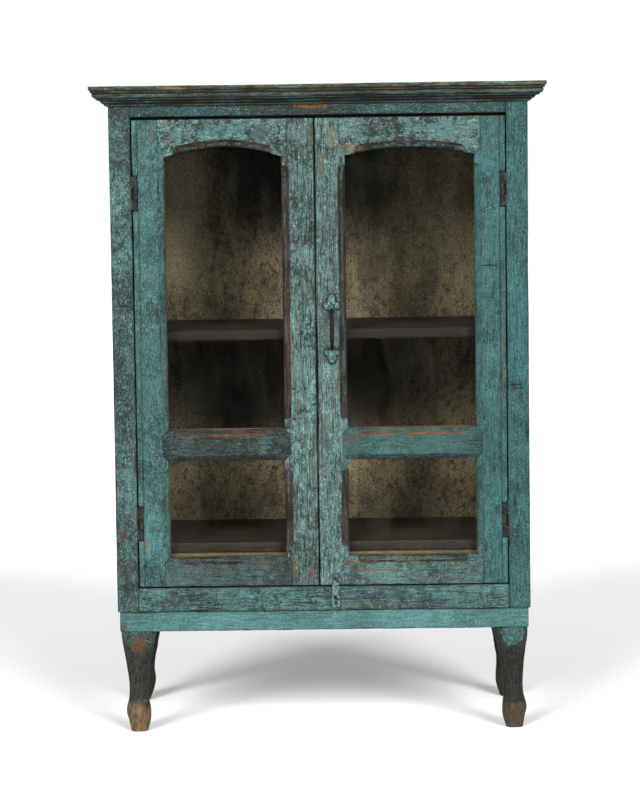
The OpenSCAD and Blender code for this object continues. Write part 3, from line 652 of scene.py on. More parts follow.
# Marks on the paint. node: (x and z of the middle, half width and half height in mm, colour, raggedness)
MARKS = {
    "frame_top_rail": [(-60, 1240, 80, 15, (54, 42, 32), 0.8), (-4, 1248, 36, 7, (140, 88, 44), 0.9),
                       (44, 1238, 50, 12, (44, 39, 31), 0.8)],
    "post_front_left": [(-404, 1228, 2, 12, (104, 80, 60), 1.2), (-381, 1232, 2, 9, (92, 76, 62), 1.2),
                        (-399, 395, 8, 16, (84, 58, 42), 1.0), (-390, 330, 12, 12, (66, 58, 50), 1.0)],
    "left_hinge_stile": [(-351, 384, 5, 9, (136, 80, 40), 0.8), (-328, 1196, 6, 18, (96, 104, 88), 1.2)],
    "left_meeting_stile": [(-16, 1196, 4, 28, (110, 80, 58), 1.0), (-58, 330, 7, 26, (104, 76, 52), 1.0),
                           (-22, 322, 6, 22, (120, 78, 46), 1.0), (-55, 690, 2, 2.5, (24, 20, 18), 0.2),
                           (-46, 684, 2.2, 2.5, (20, 18, 16), 0.2), (-32, 690, 2, 2, (24, 20, 18), 0.2),
                           (-44, 764, 2, 4, (62, 44, 36), 0.5), (-64, 800, 3, 110, (104, 66, 46), 1.2)],
    "left_top_rail": [(-114, 1197, 13, 11, (78, 96, 94), 0.4), (-266, 1206, 3, 9, (104, 62, 50), 1.0),
                      (-300, 1182, 12, 8, (108, 118, 100), 1.2), (-305, 1214, 3, 5, (140, 104, 60), 0.8),
                      (-186, 1200, 44, 9, (66, 120, 126), 1.2), (-240, 1212, 10, 3, (70, 52, 44), 1.0)],
    # The dark grey patch low on the left mid rail is painted shade on its lower chamfer, which faces down
    "left_mid_rail": [(-232, 578, 40, 16, (58, 62, 58), 1.2)],
    "right_meeting_stile": [(9, 1158, 3, 8, (164, 104, 50), 0.8), (24, 1186, 12, 22, (128, 132, 108), 0.8),
                            (4, 1130, 5, 26, (116, 90, 64), 1.0), (0, 640, 3.5, 150, (92, 62, 46), 1.2),
                            (30, 697, 5, 10, (112, 96, 66), 1.0), (12, 704, 3, 5, (110, 92, 64), 1.0),
                            # The grey marks at 858 and 758 mm are painted shade round the handle's end
                            # plates; the one at 822 mm is paint rubbed by fingers
                            (22.5, 858, 22, 27, (72, 74, 70), 0.5), (22.5, 822, 18, 22, (68, 82, 82), 0.9),
                            (22.5, 758, 22, 23, (72, 74, 70), 0.5)],
    "right_hinge_stile": [(334, 930, 17, 1.5, (26, 22, 20), 0.3), (356, 900, 2, 34, (90, 62, 44), 0.8),
                          (359.5, 745, 1.8, 110, (116, 78, 48), 1.0), (350, 1210, 8, 8, (86, 104, 98), 1.0)],
    "right_top_rail": [(62, 1163, 26, 9, (124, 104, 74), 1.0), (250, 1200, 40, 14, (88, 132, 130), 0.8)],
    "right_mid_rail": [(60, 590, 18, 10, (86, 80, 68), 1.0)],
    "right_bottom_rail": [(64, 342, 46, 3, (122, 82, 56), 1.2), (96, 326, 60, 2.5, (112, 78, 54), 1.2),
                          (150, 347, 60, 2, (120, 96, 74), 1.2)],
    "frame_bottom_rail": [
        # The first mark, beside the hasp, is a painted shadow in a recess
        (HASP - 17, 281, 6, 9, (20, 15, 12), 0.6), (HASP - 10, 277, 4, 7, (84, 54, 36), 1.2),
        (HASP + 13, 279, 3, 8, (84, 58, 40), 1.2), (HASP - 40, 262, 50, 2, (36, 30, 27), 1.2),
        (HASP + 60, 258, 70, 1.8, (116, 74, 48), 1.3), (HASP + 40, 270, 60, 1.6, (40, 32, 28), 1.2)],
    "post_front_right": [(386, 694, 14, 1.2, (24, 28, 30), 0.4), (392, 686, 9, 1.0, (24, 28, 30), 0.4),
                         (382, 690, 1.4, 8, (24, 28, 30), 0.4), (398, 1130, 2, 2, (30, 26, 24), 0.2)],
    "base_rail_front": [(-404, 214, 8, 10, (58, 58, 52), 1.0)],
}


# Painted shade: a near-black line in the gap over the doors, on the frame's top rail and the doors' top
# edges, and darker paint on the mid rails' lower chamfers, which face down
SHADE_OVER_DOORS = 0, high("left_top_rail")[2] / MM - 0.6, 700, 1.5, (12, 12, 11), 0.1
PAINTED_SHADE_LINES = [("frame_top_rail", 0, low("frame_top_rail")[2] / MM + 1.0, 700, 1.7, (12, 12, 11), 0.1)]
for side, middle in (("left", -190), ("right", 190)):
    PAINTED_SHADE_LINES += [(f"{side}_{part}", *SHADE_OVER_DOORS) for part in ("hinge_stile", "meeting_stile", "top_rail")]
    PAINTED_SHADE_LINES.append((side + "_mid_rail", middle, low("left_mid_rail")[2] / MM + 4, 190, 6, (40, 41, 37), 0.5))
for n, *mark in PAINTED_SHADE_LINES:
    MARKS.setdefault(n, []).append(tuple(mark))


def paint(name, grain, seed, **values):
    """Cracked paint, with the marks that MARKS lists for this board."""
    m = surface(name + "_paint", PAINT, grain, seed, **values)
    if name in MARKS:
        t, socket, shade = painted_over(m)
        where = object_place(t)
        along = t.scaled(where, *((0.2, 1, 1) if grain == "x" else (1, 1, 0.2)))
        grit = t.noise(along, 420, 6, 0.8)
        tone = t.span(t.noise(along, 500, 4, 0.8), 0.35, 0.65, 0.4, 1.5)
        for x, z, wide, tall, tint, ragged in MARKS[name]:
            centre = (x * MM, low(name)[1], z * MM)
            mask = blob(t, where, centre, (wide * MM, 30 * MM, tall * MM), ragged)
            tint = t.mix(1.0, colour(*tint), tone, "MULTIPLY")
            kept = t.span(grit, 0.44, 0.55, 1.0, 0.15) if ragged > 0.4 else 1.0
            shade = t.mix(t.times(mask, kept), shade, tint)
        t.put(socket, shade)
    return m


def timber(name, grain, seed, **values):
    return surface(name + "_timber", TIMBER, grain, seed, **values)


# ---------- case ----------

JOINT = 0.12 * MM     # the visible gap at a joint

TEAL = dict(paint=(83, 134, 134), paint_2=(65, 113, 112))
CALM = dict(paint=(94, 138, 134), paint_2=(74, 112, 110))
BLUE = dict(paint=(57, 110, 110), paint_2=(45, 93, 95), light=(96, 148, 146))


def rear_post(node, side, seed):
    """A rear post, with the rebate that the back boards lie in."""
    (x0, y0, z0), (x1, y1, z1) = low(node), high(node)
    rebate = low("back_boards")[1] - JOINT
    t, inset = end_stations(z0, z1, 6 * MM, 1.5 * MM)
    if side == "left":
        x = low("back_boards")[0] - JOINT
        points = [(x0, y0), (x1, y0), (x1, rebate), (x, rebate), (x, y1), (x0, y1)]
    else:
        x = high("back_boards")[0] + JOINT
        points = [(x0, y0), (x1, y0), (x1, y1), (x, y1), (x, rebate), (x0, rebate)]
    corners = np.repeat(np.array(points)[None], len(t), axis=0)
    cut = wandering(t, [1.6] * 6, seed, 0.4)
    return aged(sweep(node + "_wood", t, inset, corners, cut, "z", "xy"), "z", seed)


def plank(n, look, along, seed, slot="teal_paint", skin=paint, ends=None, **shape):
    """A CAD board's worn stand-in. ends are its ends where its tenons are left out."""
    a, b = low(n), high(n)
    if ends:
        a[GRAIN[along]], b[GRAIN[along]] = ends
    part = board(n + "_wood", a, b, along, seed, **shape)
    return place(part, skin(n, along, seed, **look), slot, n)


POSTS = {
    "left": dict(loss=0.15, crackle=0.9, pits=0.85, streaks=0.4, rub=0.22, dirt=0.2, flecks=0.7, **CALM),
    "right": dict(loss=0.05, crackle=0.5, pits=0.5, streaks=0.55, rub=0.15, dirt=0.1, flecks=0.9, **BLUE),
}


def case():
    for side, seed in (("left", 11), ("right", 12)):
        plank("post_front_" + side, POSTS[side], "z", seed, radius=1.8)
        n = "post_rear_" + side
        place(rear_post(n, side, seed + 2), paint(n, "z", seed + 2, loss=0.3, **CALM), "teal_paint", n)
        ends = high("post_front_" + side)[1], low("post_rear_" + side)[1]
        for k, n in enumerate((f"side_top_rail_{side}", f"side_bottom_rail_{side}")):
            plank(n, dict(loss=0.25, **CALM), "y", seed + 20 + k, ends=ends)
        plank("side_panel_" + side, dict(loss=0.3, crackle=0.8, splits=0.8, **CALM), "z", seed + 30,
              radius=1.0, step=10 * MM, dent=0.5, warp=1.0, row=8 * MM)
        plank("base_rail_" + side, dict(loss=0.1, **TEAL), "y", seed + 40)
    ends = high("post_front_left")[0], low("post_front_right")[0]
    # The frame's top rail has darker paint than the rest: painted shade from the cornice above it
    look = dict(loss=0.2, crackle=0.4, pits=0.3, streaks=0.4, rub=0.1, dirt=0.5,
                paint=(42, 80, 79), paint_2=(30, 64, 64))
    plank("frame_top_rail", look, "x", 51, ends=ends, row=4 * MM)
    look = dict(loss=0.1, crackle=0.9, pits=0.4, streaks=0.65, rub=0.3, dirt=0.1,
                paint=(84, 130, 126), paint_2=(64, 104, 102))
    plank("frame_bottom_rail", look, "x", 52, ends=ends, row=4 * MM)
    look = dict(loss=0.02, crackle=0.2, pits=0.1, streaks=0.25, rub=0.1, dirt=0.05, splits=0.2, **TEAL)
    plank("base_rail_front", look, "x", 53, radius=2.0)
    plank("base_rail_rear", dict(loss=0.3, **CALM), "x", 54)
    for n, seed in (("rear_top_rail", 55), ("rear_bottom_rail", 56)):
        plank(n, {}, "x", seed, "aged_wood", timber, ends)


def paint_light_and_shade(part):
    """Painted shadow and painted light on the inner face of a back board: painted shadow at the top, over
    the middle and under the shelf, and painted light towards the left edge and faintly over the right side,
    above the shelf.
    """
    p = points_of(part.data)
    x, z = p[:, 0], p[:, 2]
    inner = p[:, 1] < (low("back_boards")[1] + high("back_boards")[1]) / 2
    shelf = high("shelf")[2]
    off = np.abs(x)
    left = x < 0
    middle = 0.82 - smooth(off, 90 * MM, 270 * MM)
    middle = np.where(left, 1 - smooth(off, 150 * MM, 300 * MM), middle)
    top = smooth(z, shelf + 70 * MM, shelf + 320 * MM) * middle
    corner = smooth(z, shelf + 320 * MM, shelf + 400 * MM) * 0.8
    below = smooth(z, shelf - 330 * MM, shelf - 160 * MM) * (1 - smooth(z, shelf - 20 * MM, shelf))
    sides = 1 - 0.75 * smooth(off, 60 * MM, 300 * MM)
    below = below * np.where(left, 0.35 + 0.65 * (1 - smooth(off, 200 * MM, 360 * MM)), sides)
    # Painted light towards the left edge, and faintly over the right side, above the shelf
    painted_light = np.where(left, 1.3 * smooth(off, 220 * MM, 320 * MM), 0.25 * smooth(off, 60 * MM, 160 * MM))
    painted_light *= smooth(z, shelf + 20 * MM, shelf + 120 * MM)
    write(part.data, "painted_light", painted_light * inner)
    write(part.data, "dirt_and_shade", np.clip(np.maximum(np.maximum(top, corner), below), 0, 1) * inner)


BACK_BOARDS = 4
LAP = 0.8 * MM        # how far each back board reaches under its neighbour's edge


def back_boards():
    a, b = low("back_boards"), high("back_boards")
    width = (b[0] - a[0]) / BACK_BOARDS
    skin = timber("back_boards", "z", 61, blotch=0.9, edge=0.0)
    for i in range(BACK_BOARDS):
        p, q = a.copy(), b.copy()
        p[0], q[0] = a[0] + i * width - LAP, a[0] + (i + 1) * width + LAP
        part = board(f"back_board_{i + 1}", p, q, "z", 60 + i, 1.0, 9 * MM, 8 * MM,
                     dent=0.5, warp=0.9, chip=0.3)
        paint_light_and_shade(part)
        place(part, skin, "aged_wood", body="carcass")
    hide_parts("back_boards")


FLOOR_SEAM = -15 * MM


def inside():
    look = dict(light=(60, 46, 35), dark=(40, 31, 24), pale=(68, 58, 46), blotch=0.4)
    shelf = plank("shelf", look, "x", 71, "aged_wood", timber, radius=2.0, step=8 * MM, row=7 * MM)
    t, socket, made = painted_over(shelf.data.materials[0])
    # Painted shade: faces towards the front are darkened, so the lit front edge comes out no lighter than
    # the top
    t.put(socket, t.mix(t.times(facing(t, 0.5, 0.9), 0.62), made, colour(24, 19, 16)))
    a, b = low("floor_boards"), high("floor_boards")
    seam = np.array([b[0], FLOOR_SEAM, b[2]])
    front = board("floor_board_front", a, seam, "x", 72, 2.0, 8 * MM, 7 * MM)
    seam = np.array([a[0], FLOOR_SEAM + 0.6 * MM, a[2]])
    rear = board("floor_board_rear", seam, b, "x", 73, 1.5, 8 * MM, 7 * MM)
    skin = timber("floor", "x", 72, light=(58, 50, 39), dark=(42, 36, 29), pale=(70, 62, 48), blotch=0.4)
    place(front, skin, "aged_wood", "floor_boards")
    place(rear, skin, "aged_wood", body="carcass")
    look = dict(light=(104, 92, 68), dark=(74, 64, 48))
    for n, seed in (("shelf_back_cleat", 74), ("door_stop_top", 75), ("door_stop_bottom", 76)):
        plank(n, look, "x", seed, "aged_wood", timber)
    dress(NODES["side_cleats"], timber("side_cleats", "y", 77))
    look = dict(loss=0.35, paint=(80, 104, 98), paint_2=(62, 78, 74), dirt=0.7)
    plank("top_board", look, "x", 78, "dark_paint", radius=1.5, step=10 * MM, row=9 * MM)


case()
back_boards()
inside()


# ---------- cornice ----------

# The cornice's section: distance out from the case and height in mm, then wear and darkening, 0 to 1; the
# darkening is highest in the hollows
MOULDING = [
    (0, 0, 0, 1), (1.5, 0.3, 0, 1), (2, 1.2, 0, 0.6), (5.5, 1.8, 0.5, 0), (7.5, 3, 0.7, 0),
    (7, 4.6, 0.2, 0.7), (8.5, 5.4, 0.1, 1), (12.5, 7, 0.3, 0.7), (15.5, 9.5, 0.5, 0.4),
    (17, 12.2, 0.4, 0.8), (23, 13, 0.2, 1), (25.4, 14, 0.5, 0.1), (25.2, 15.4, 0.3, 0.6),
    (24, 16, 0, 1), (28.5, 17, 0.2, 0.3), (32, 20, 0.2, 0), (34, 24, 0.5, 0.2), (31.5, 25.2, 0, 1),
    (33, 26.4, 0.2, 0.7), (36, 27.8, 0.9, 0), (37, 30, 0.5, 0.5), (35.2, 30.8, 0, 1),
    (38.8, 31.8, 0.9, 0.3), (39.6, 34, 0.9, 0), (40, 39.2, 0.3, 0), (39, 40, 0.2, 0), (0, 40, 0, 0),
]
NARROWER = 0.88       # of the distances above


def between(values, counts, arc):
    """A value for each point of an outline's ring, from one for each of its corners."""
    ring = []
    for j, value in enumerate(values):
        following = values[(j + 1) % len(values)]
        ring += [value] * (arc + 1)
        ring += [value + (following - value) * i / counts[j] for i in range(1, counts[j])]
    return np.array(ring)


def moulding(name, node, count, where):
    """Sweeps the cornice's section. where(s, out) gives x and y at s, from 0 to 1 along the piece."""
    section = np.array([(p[0] * NARROWER, p[1]) for p in MOULDING]) * MM
    s = np.unique(np.concatenate([[0, 0.0008], np.linspace(0.002, 0.998, count), [0.9992, 1]]))
    corners = np.repeat(section[None], len(s), axis=0)
    cut = np.full((len(s), len(section)), 0.7 * MM)
    sides = np.linalg.norm(np.roll(section, -1, axis=0) - section, axis=1)
    counts = [max(1, int(round(v / (4 * MM)))) for v in sides]
    rings = outline(corners, cut, counts, 2)
    x, y = where(s[:, None], rings[..., 0])
    verts = np.stack([x, y, low(node)[2] + rings[..., 1]], axis=2)
    edge = between([p[2] for p in MOULDING], counts, 2)
    dirt_and_shade = between([p[3] for p in MOULDING], counts, 2)
    return new_object(name, verts.reshape(-1, 3), ring_faces(len(s), rings.shape[1]),
                      {"edge": np.tile(edge, len(s)), "dirt_and_shade": np.tile(dirt_and_shade, len(s))})


def cornice():
    right = high("top_board")[0]
    front, back = low("top_board")[1], high("top_board")[1]
    look = dict(loss=0.25, edge=1.2, crackle=0.4, pits=0.5, streaks=0.8, rub=0.3, splits=0.6, dirt=0.95,
                flecks=0.8, paint=(100, 132, 122), paint_2=(74, 96, 89), light=(132, 164, 152),
                wood=(122, 102, 72), wood_2=(70, 58, 44))
    skin = paint("cornice", "x", 81, **look)
    obj = moulding("cornice_front_wood", "cornice_front", 220,
                   lambda s, out: ((2 * s - 1) * (right + out), front - out + 0 * s))
    place(aged(obj, "x", 81, 0.5, 0.7, 1.0), skin, "dark_paint", "cornice_front")
    for side, way in (("left", -1), ("right", 1)):
        n = "cornice_" + side
        obj = moulding(n + "_wood", n, 120,
                       lambda s, out: (way * (right + out) + 0 * s, front - out + s * (back - front + out)))
        place(aged(obj, "y", 82 + way, 0.5, 0.6, 1.0), paint(n, "y", 82 + way, **look), "dark_paint", n)


# ---------- doors ----------

HAUNCH = 11 * MM                          # how far a rail's mitred ends go into the stiles
CHAMFER = 12 * MM, 8 * MM                 # on the face and on the edge
CHAMFER_STOP = 20 * MM                    # from a pane's corner to the chamfer's end
RAMP = 7 * MM
STILE_ARRIS, ARRIS = 0.9 * MM, 0.8 * MM   # the edge beyond the chamfer's stops, on a stile and on a rail
BARREL = 10 * MM
HALF_HINGE = 33 * MM
GLASS_LAP = 7.5 * MM
LIP = 2.4 * MM                            # the left door's rebate, behind the gap between the doors


UPPER_EDGE = {"top": 0, "mid": 1.2, "bottom": 0.45}   # how bare a rail is at its upper edge


def corner_rows(points, stations):
    """Corners for sweep(), from pairs of numbers or of one number for each station."""
    rows = [np.stack([np.broadcast_to(v, stations) for v in p], axis=1) for p in points]
    return np.stack(rows, axis=1)


class Door:
    """A door's measures, in u from its hinge edge, y from its face and z in the room."""

    def __init__(self, side):
        self.side = side
        self.way = 1 if side == "left" else -1
        stile = side + "_hinge_stile"
        meeting = side + "_meeting_stile"
        self.edge = low(stile)[0] if side == "left" else high(stile)[0]
        self.face = low(stile)[1]
        self.thick = high(stile)[1] - self.face
        self.a = high(stile)[0] - low(stile)[0]
        self.w = abs((high(meeting)[0] if side == "left" else low(meeting)[0]) - self.edge)
        self.b = self.w - (high(meeting)[0] - low(meeting)[0])
        self.z0, self.z1 = low(stile)[2], high(stile)[2]
        self.rails = {}
        for key in ("bottom", "mid", "top"):
            self.rails[key] = low(f"{side}_{key}_rail")[2], high(f"{side}_{key}_rail")[2]
        self.glass = low(side + "_upper_glass")[1] - self.face
        self.rebate = 8 * MM
        self.rise = high(side + "_upper_glass")[2] - GLASS_LAP - self.rails["top"][0]
        leaves = side + "_hinge_leaves"
        self.hinges = low(leaves)[2] + HALF_HINGE, high(leaves)[2] - HALF_HINGE
        bottom, mid, top = self.rails.values()
        self.panes = (bottom[1], mid[0]), (mid[1], top[0])

    def to_room(self, obj):
        """Turns a piece that was built in u and y into the room's x and y."""
        p = points_of(obj.data)
        p[:, 0] = self.edge + self.way * p[:, 0]
        p[:, 1] += self.face
        set_points(obj.data, p)
        if self.way < 0:
            bm = bmesh.new()
            bm.from_mesh(obj.data)
            turn_faces(bm)
            bm.to_mesh(obj.data)
            bm.free()
        return obj

    def haunch(self, z):
        """How far the stiles' inner edge is set back for the rails, 0 to 1, at the heights z."""
        total = np.zeros(len(z))
        for key, (r0, r1) in self.rails.items():
            rise = np.clip((z - r0) / HAUNCH, 0, 1) if key != "bottom" else np.where(z > r0 - 1, 1.0, 0)
            fall = np.clip((r1 - z) / HAUNCH, 0, 1) if key != "top" else np.where(z > r0 - 1, 1.0, 0)
            total = np.maximum(total, np.minimum(rise, fall) * ((z >= r0 - 1e-9) & (z <= r1 + 1e-9)))
        return total

    def chamfer(self, t, spans):
        """How deep the chamfer is at the places t, 0 to 1, when it runs between each span's stops."""
        total = np.zeros(len(t))
        for p0, p1 in spans:
            p0, p1 = p0 + CHAMFER_STOP, p1 - CHAMFER_STOP
            rise = smooth(t, p0 - RAMP * 0.6, p0 + RAMP * 0.4)
            fall = 1 - smooth(t, p1 - RAMP * 0.4, p1 + RAMP * 0.6)
            total = np.maximum(total, rise * fall)
        return total

    def stile(self, name, hinge, seed, radius=1.5):
        special = []
        for r0, r1 in self.rails.values():
            special += [r0, r0 + HAUNCH, r1 - HAUNCH, r1]
        for p0, p1 in self.panes:
            p0, p1 = p0 + CHAMFER_STOP, p1 - CHAMFER_STOP
            special += list(np.linspace(p0 - 5 * MM, p0 + 3 * MM, 5))
            special += list(np.linspace(p1 - 3 * MM, p1 + 5 * MM, 5))
        reach = HALF_HINGE + 2.5 * MM
        if hinge:
            for h in self.hinges:
                special += [h - reach, h - reach + 0.4 * MM, h + reach - 0.4 * MM, h + reach]
        special = [s for s in special if self.z0 + 2 * MM < s < self.z1 - 2 * MM]
        t, inset = end_stations(self.z0, self.z1, 5 * MM, radius * MM, special)
        set_back = self.haunch(t) * (HAUNCH + JOINT)
        c = self.chamfer(t, self.panes)
        wide = np.maximum(c * CHAMFER[0], STILE_ARRIS)
        deep = np.maximum(c * CHAMFER[1], STILE_ARRIS)
        glass, thick = self.glass, self.thick
        if hinge:
            u_in = self.a - set_back
            u_reb = np.minimum(u_in - 0.4 * MM, self.a - self.rebate)
            notch = np.zeros(len(t))
            for h in self.hinges:
                notch = np.maximum(notch, (np.abs(t - h) < reach - 0.2 * MM) * 1.0)
            q = BARREL + 0.4 * MM
            points = [
                (0, notch * q), (q - 0.1 * MM, notch * q), (q, 2.5 * MM + notch * 0.1 * MM),
                (12 * MM, 2.4 * MM), (12 * MM, 0), (u_in - wide, 0), (u_in, deep),
                (u_in, glass), (u_reb, glass), (u_reb, thick), (0, thick),
            ]
            sharp = [0.9, 0.6, 0, 0, 0.6, 0.7, 0.8, 0.2, 0, 0.3, 0.8]
            bare = [0, 0, 0, 0, 0, 1, 0.3, 0, 0, 0, 0]
            inner = (5, 6)
        else:
            u_in = self.b + set_back
            u_reb = np.maximum(u_in + 0.4 * MM, self.b + self.rebate)
            lip = LIP if self.way > 0 else 0.02 * MM
            points = [
                (self.w, 0), (self.w, 11 * MM), (self.w + lip, 11.2 * MM), (self.w + lip, thick),
                (u_reb, thick), (u_reb, glass), (u_in, glass), (u_in, deep), (u_in + wide, 0),
            ]
            sharp = [0.9, 0, 0, 0.4, 0.3, 0, 0.2, 0.8, 0.7]
            bare = [0, 0, 0, 0, 0, 0, 0.3, 1, 0]
            inner = (7, 8)
        corners = corner_rows(points, len(t))
        cut = wandering(t, [radius if v > 0.5 else 0.5 for v in sharp], seed, 0.41)
        sharp, bare = np.tile(sharp, (len(t), 1)), np.tile(bare, (len(t), 1))
        open_part = 1 - np.clip(set_back / HAUNCH * 3, 0, 1)
        for j in inner:
            sharp[:, j] *= 0.25 + 0.75 * open_part
            cut[:, j] = np.minimum(cut[:, j], (0.7 + 1.5 * open_part) * MM)
        bare *= np.maximum(c, 0.1)[:, None]
        obj = sweep(name, t, inset, corners, cut, "z", "xy", 4 * MM, sharp, bare)
        return self.to_room(aged(obj, "z", seed))

    def rail(self, name, key, seed, radius=1.4):
        r0, r1 = self.rails[key]
        below, above = key != "bottom", key != "top"
        special = [self.a, self.b]
        for u in (self.a + CHAMFER_STOP, self.b - CHAMFER_STOP):
            special += list(np.linspace(u - 5 * MM, u + 5 * MM, 6))
        t, inset = end_stations(self.a - HAUNCH + JOINT, self.b + HAUNCH - JOINT, 5 * MM, 0.5 * MM, special)
        shoulder = np.maximum(np.maximum(self.a - t, t - self.b), 0)
        c = self.chamfer(t, [(self.a, self.b)])
        wide, deep = np.maximum(c * CHAMFER[0], ARRIS), np.maximum(c * CHAMFER[1], ARRIS)
        bottom = r0 + shoulder if below else r0 + 0 * t
        if key == "top":
            half = (self.b - self.a) / 2
            r = (half * half + self.rise * self.rise) / (2 * self.rise)
            x = np.clip(np.abs(t - (self.a + self.b) / 2), 0, half)
            bottom = bottom + np.sqrt(r * r - x * x) - (r - self.rise)
        top = r1 - shoulder if above else r1 + 0 * t
        g, back = self.glass, self.thick
        lap = self.rebate if below else 0.3 * MM
        lap_up = self.rebate if above else 0.3 * MM
        points = [
            (0, bottom + (wide if below else ARRIS)), (deep if below else ARRIS, bottom), (g, bottom),
            (g, bottom + lap), (back, bottom + lap), (back, top - lap_up), (g, top - lap_up), (g, top),
            (deep if above else ARRIS, top), (0, top - (wide if above else ARRIS)),
        ]
        corners = corner_rows(points, len(t))
        sharp = [0.9, 0.8, 0.2, 0, 0.3, 0.3, 0, 0.2, 0.8, 0.9]
        bare = [0.8 if key == "top" else 0, 0.2, 0, 0, 0, 0, 0, 0.4 if above else 0, UPPER_EDGE[key], 0]
        cut = wandering(t, [radius if v > 0.5 else 0.5 for v in sharp], seed, 0.37)
        sharp, bare = np.tile(sharp, (len(t), 1)), np.tile(bare, (len(t), 1))
        bare *= np.maximum(c, 0.1)[:, None]
        obj = sweep(name, t, inset, corners, cut, "x", "yz", 4 * MM, sharp, bare, worn_ends=0.2)
        return self.to_room(aged(obj, "x", seed))


STILE = dict(paint=(74, 123, 121), paint_2=(56, 103, 102))
WORN = dict(paint=(104, 146, 140), paint_2=(80, 118, 114), light=(156, 194, 186),
            under=(44, 38, 36), rubbed=(94, 86, 84), wood=(66, 56, 51), wood_2=(44, 38, 34))
GREY = dict(paint=(72, 104, 101), paint_2=(56, 84, 82), light=(108, 140, 134))

DOOR_LOOKS = {
    "left_hinge_stile": dict(
        loss=0.06, bare=0.25, crackle=0.7, pits=0.5, streaks=0.4, rub=0.2, dirt=0.1, **STILE),
    "left_meeting_stile": dict(
        loss=0.06, bare=1.0, crackle=1.0, pits=0.4, streaks=0.75, rub=0.55, splits=0.7,
        dirt=0.1, flecks=1.0, swirl=0.3, **WORN),
    "left_top_rail": dict(
        loss=0.1, bare=0.9, crackle=1.2, pits=0.6, streaks=0.5, rub=0.25, splits=0.2, dirt=0.1,
        flecks=1.0, swirl=1.6, **WORN),
    "left_mid_rail": dict(
        loss=0.12, bare=0.6, crackle=1.2, pits=0.7, streaks=0.8, rub=0.3, splits=0.8,
        flecks=1.0, dirt=0.3, swirl=0.8, wood=(112, 80, 56), wood_2=(70, 60, 48), **GREY),
    "left_bottom_rail": dict(
        loss=0.2, crackle=0.8, pits=0.7, streaks=0.5, rub=0.5, splits=0.4, dirt=0.3, **GREY),
    "right_hinge_stile": dict(
        loss=0.05, bare=0.25, crackle=0.5, pits=0.4, streaks=0.45, rub=0.15, splits=0.5,
        dirt=0.1, paint=(62, 114, 113), paint_2=(48, 97, 97), light=(102, 152, 148)),
    "right_meeting_stile": dict(
        loss=0.03, bare=1.0, crackle=0.7, pits=0.25, streaks=0.68, rub=0.38, splits=0.9,
        dirt=0.05, flecks=1.0, **WORN),
    "right_top_rail": dict(
        loss=0.1, bare=0.8, crackle=1.2, pits=0.6, streaks=0.6, rub=0.35, splits=0.3, dirt=0.1,
        flecks=0.9, swirl=1.2, **WORN),
    "right_mid_rail": dict(
        loss=0.06, bare=0.45, crackle=0.5, pits=0.35, streaks=0.5, rub=0.2, splits=0.7, dirt=0.2,
        wood=(118, 84, 58), wood_2=(80, 64, 50),
        flecks=0.3, paint=(66, 108, 105), paint_2=(52, 92, 89)),
    "right_bottom_rail": dict(
        loss=0.15, crackle=0.9, pits=0.5, streaks=0.55, rub=0.3, splits=0.4, dirt=0.2,
        paint=(92, 128, 122), paint_2=(74, 106, 101)),
}


def doors():
    for side, base in (("left", 100), ("right", 130)):
        door = Door(side)
        for i, part in enumerate(("hinge_stile", "meeting_stile", "top_rail", "mid_rail", "bottom_rail")):
            n, seed = f"{side}_{part}", base + i
            if "stile" in part:
                grain = "z"
                obj = door.stile(n + "_wood", part == "hinge_stile", seed)
            else:
                grain = "x"
                obj = door.rail(n + "_wood", part.split("_")[0], seed)
            place(obj, paint(n, grain, seed, **DOOR_LOOKS[n]), "teal_paint", n)
        dress(NODES[side + "_glazing_beads"], timber(side + "_beads", "z", base + 9))
        for i, pane in enumerate(("upper", "lower")):
            n = f"{side}_{pane}_glass"
            dress(NODES[n], dusty_glass(n, base + 7 + i))


def dusty_glass(name, seed):
    """Old sheet glass with a thin film of dust."""
    m, t, shader = new_material(name + "_pane")
    v = t.scaled(object_place(t), 1, 1, 1, (seed * 1.3, 0, seed * 0.7))
    smear = t.noise(t.scaled(v, 1, 1, 0.35), 14, 6, 0.7, 1.2)
    film = t.add(0.002, t.span(smear, 0.42, 0.72, 0.0, 0.012))
    t.put(shader.inputs["Alpha"], film)
    t.put(shader.inputs["Base Color"], t.mix(smear, colour(150, 146, 128), colour(190, 186, 168)))
    t.put(shader.inputs["Roughness"], t.span(smear, 0.3, 0.7, 0.12, 0.4))
    t.put(shader.inputs["Normal"], t.bump(t.noise(v, 9, 2), 1.5 * MM))
    return m


# ---------- iron ----------

def melted(name, *sources, voxel=0.7, rounds=3, lumps=0.15, seed=0, scale=160):
    """One solid made of overlapping shapes, with soft edges and a beaten surface."""
    bm = bmesh.new()
    for mesh in sources:
        bm.from_mesh(mesh)
    mesh = bpy.data.meshes.new(name)
    bm.to_mesh(mesh)
    bm.free()
    obj = linked(name, mesh)
    remesh = obj.modifiers.new("remesh", "REMESH")
    remesh.mode = "VOXEL"
    remesh.voxel_size = voxel * MM
    relax = obj.modifiers.new("relax", "SMOOTH")
    relax.iterations = rounds
    relax.factor = 0.5
    bpy.context.view_layer.update()
    done = bpy.data.meshes.new_from_object(obj.evaluated_get(bpy.context.evaluated_depsgraph_get()))
    bpy.data.objects.remove(obj)
    done.name = name
    p = points_of(done)
    set_points(done, p + normals_of(done) * (lumps * MM * fractal(p * scale, seed, 3))[:, None])
    done.shade_smooth()
    return linked(name, done)


def ball(at, size):
    """An ellipsoid, as a mesh."""
    bm = bmesh.new()
    bmesh.ops.create_uvsphere(bm, u_segments=24, v_segments=16, radius=1)
    bmesh.ops.transform(bm, matrix=Matrix.Translation(at) @ Matrix.Diagonal((*size, 1)), verts=bm.verts)
    mesh = bpy.data.meshes.new("ball")
    bm.to_mesh(mesh)
    bm.free()
    return mesh


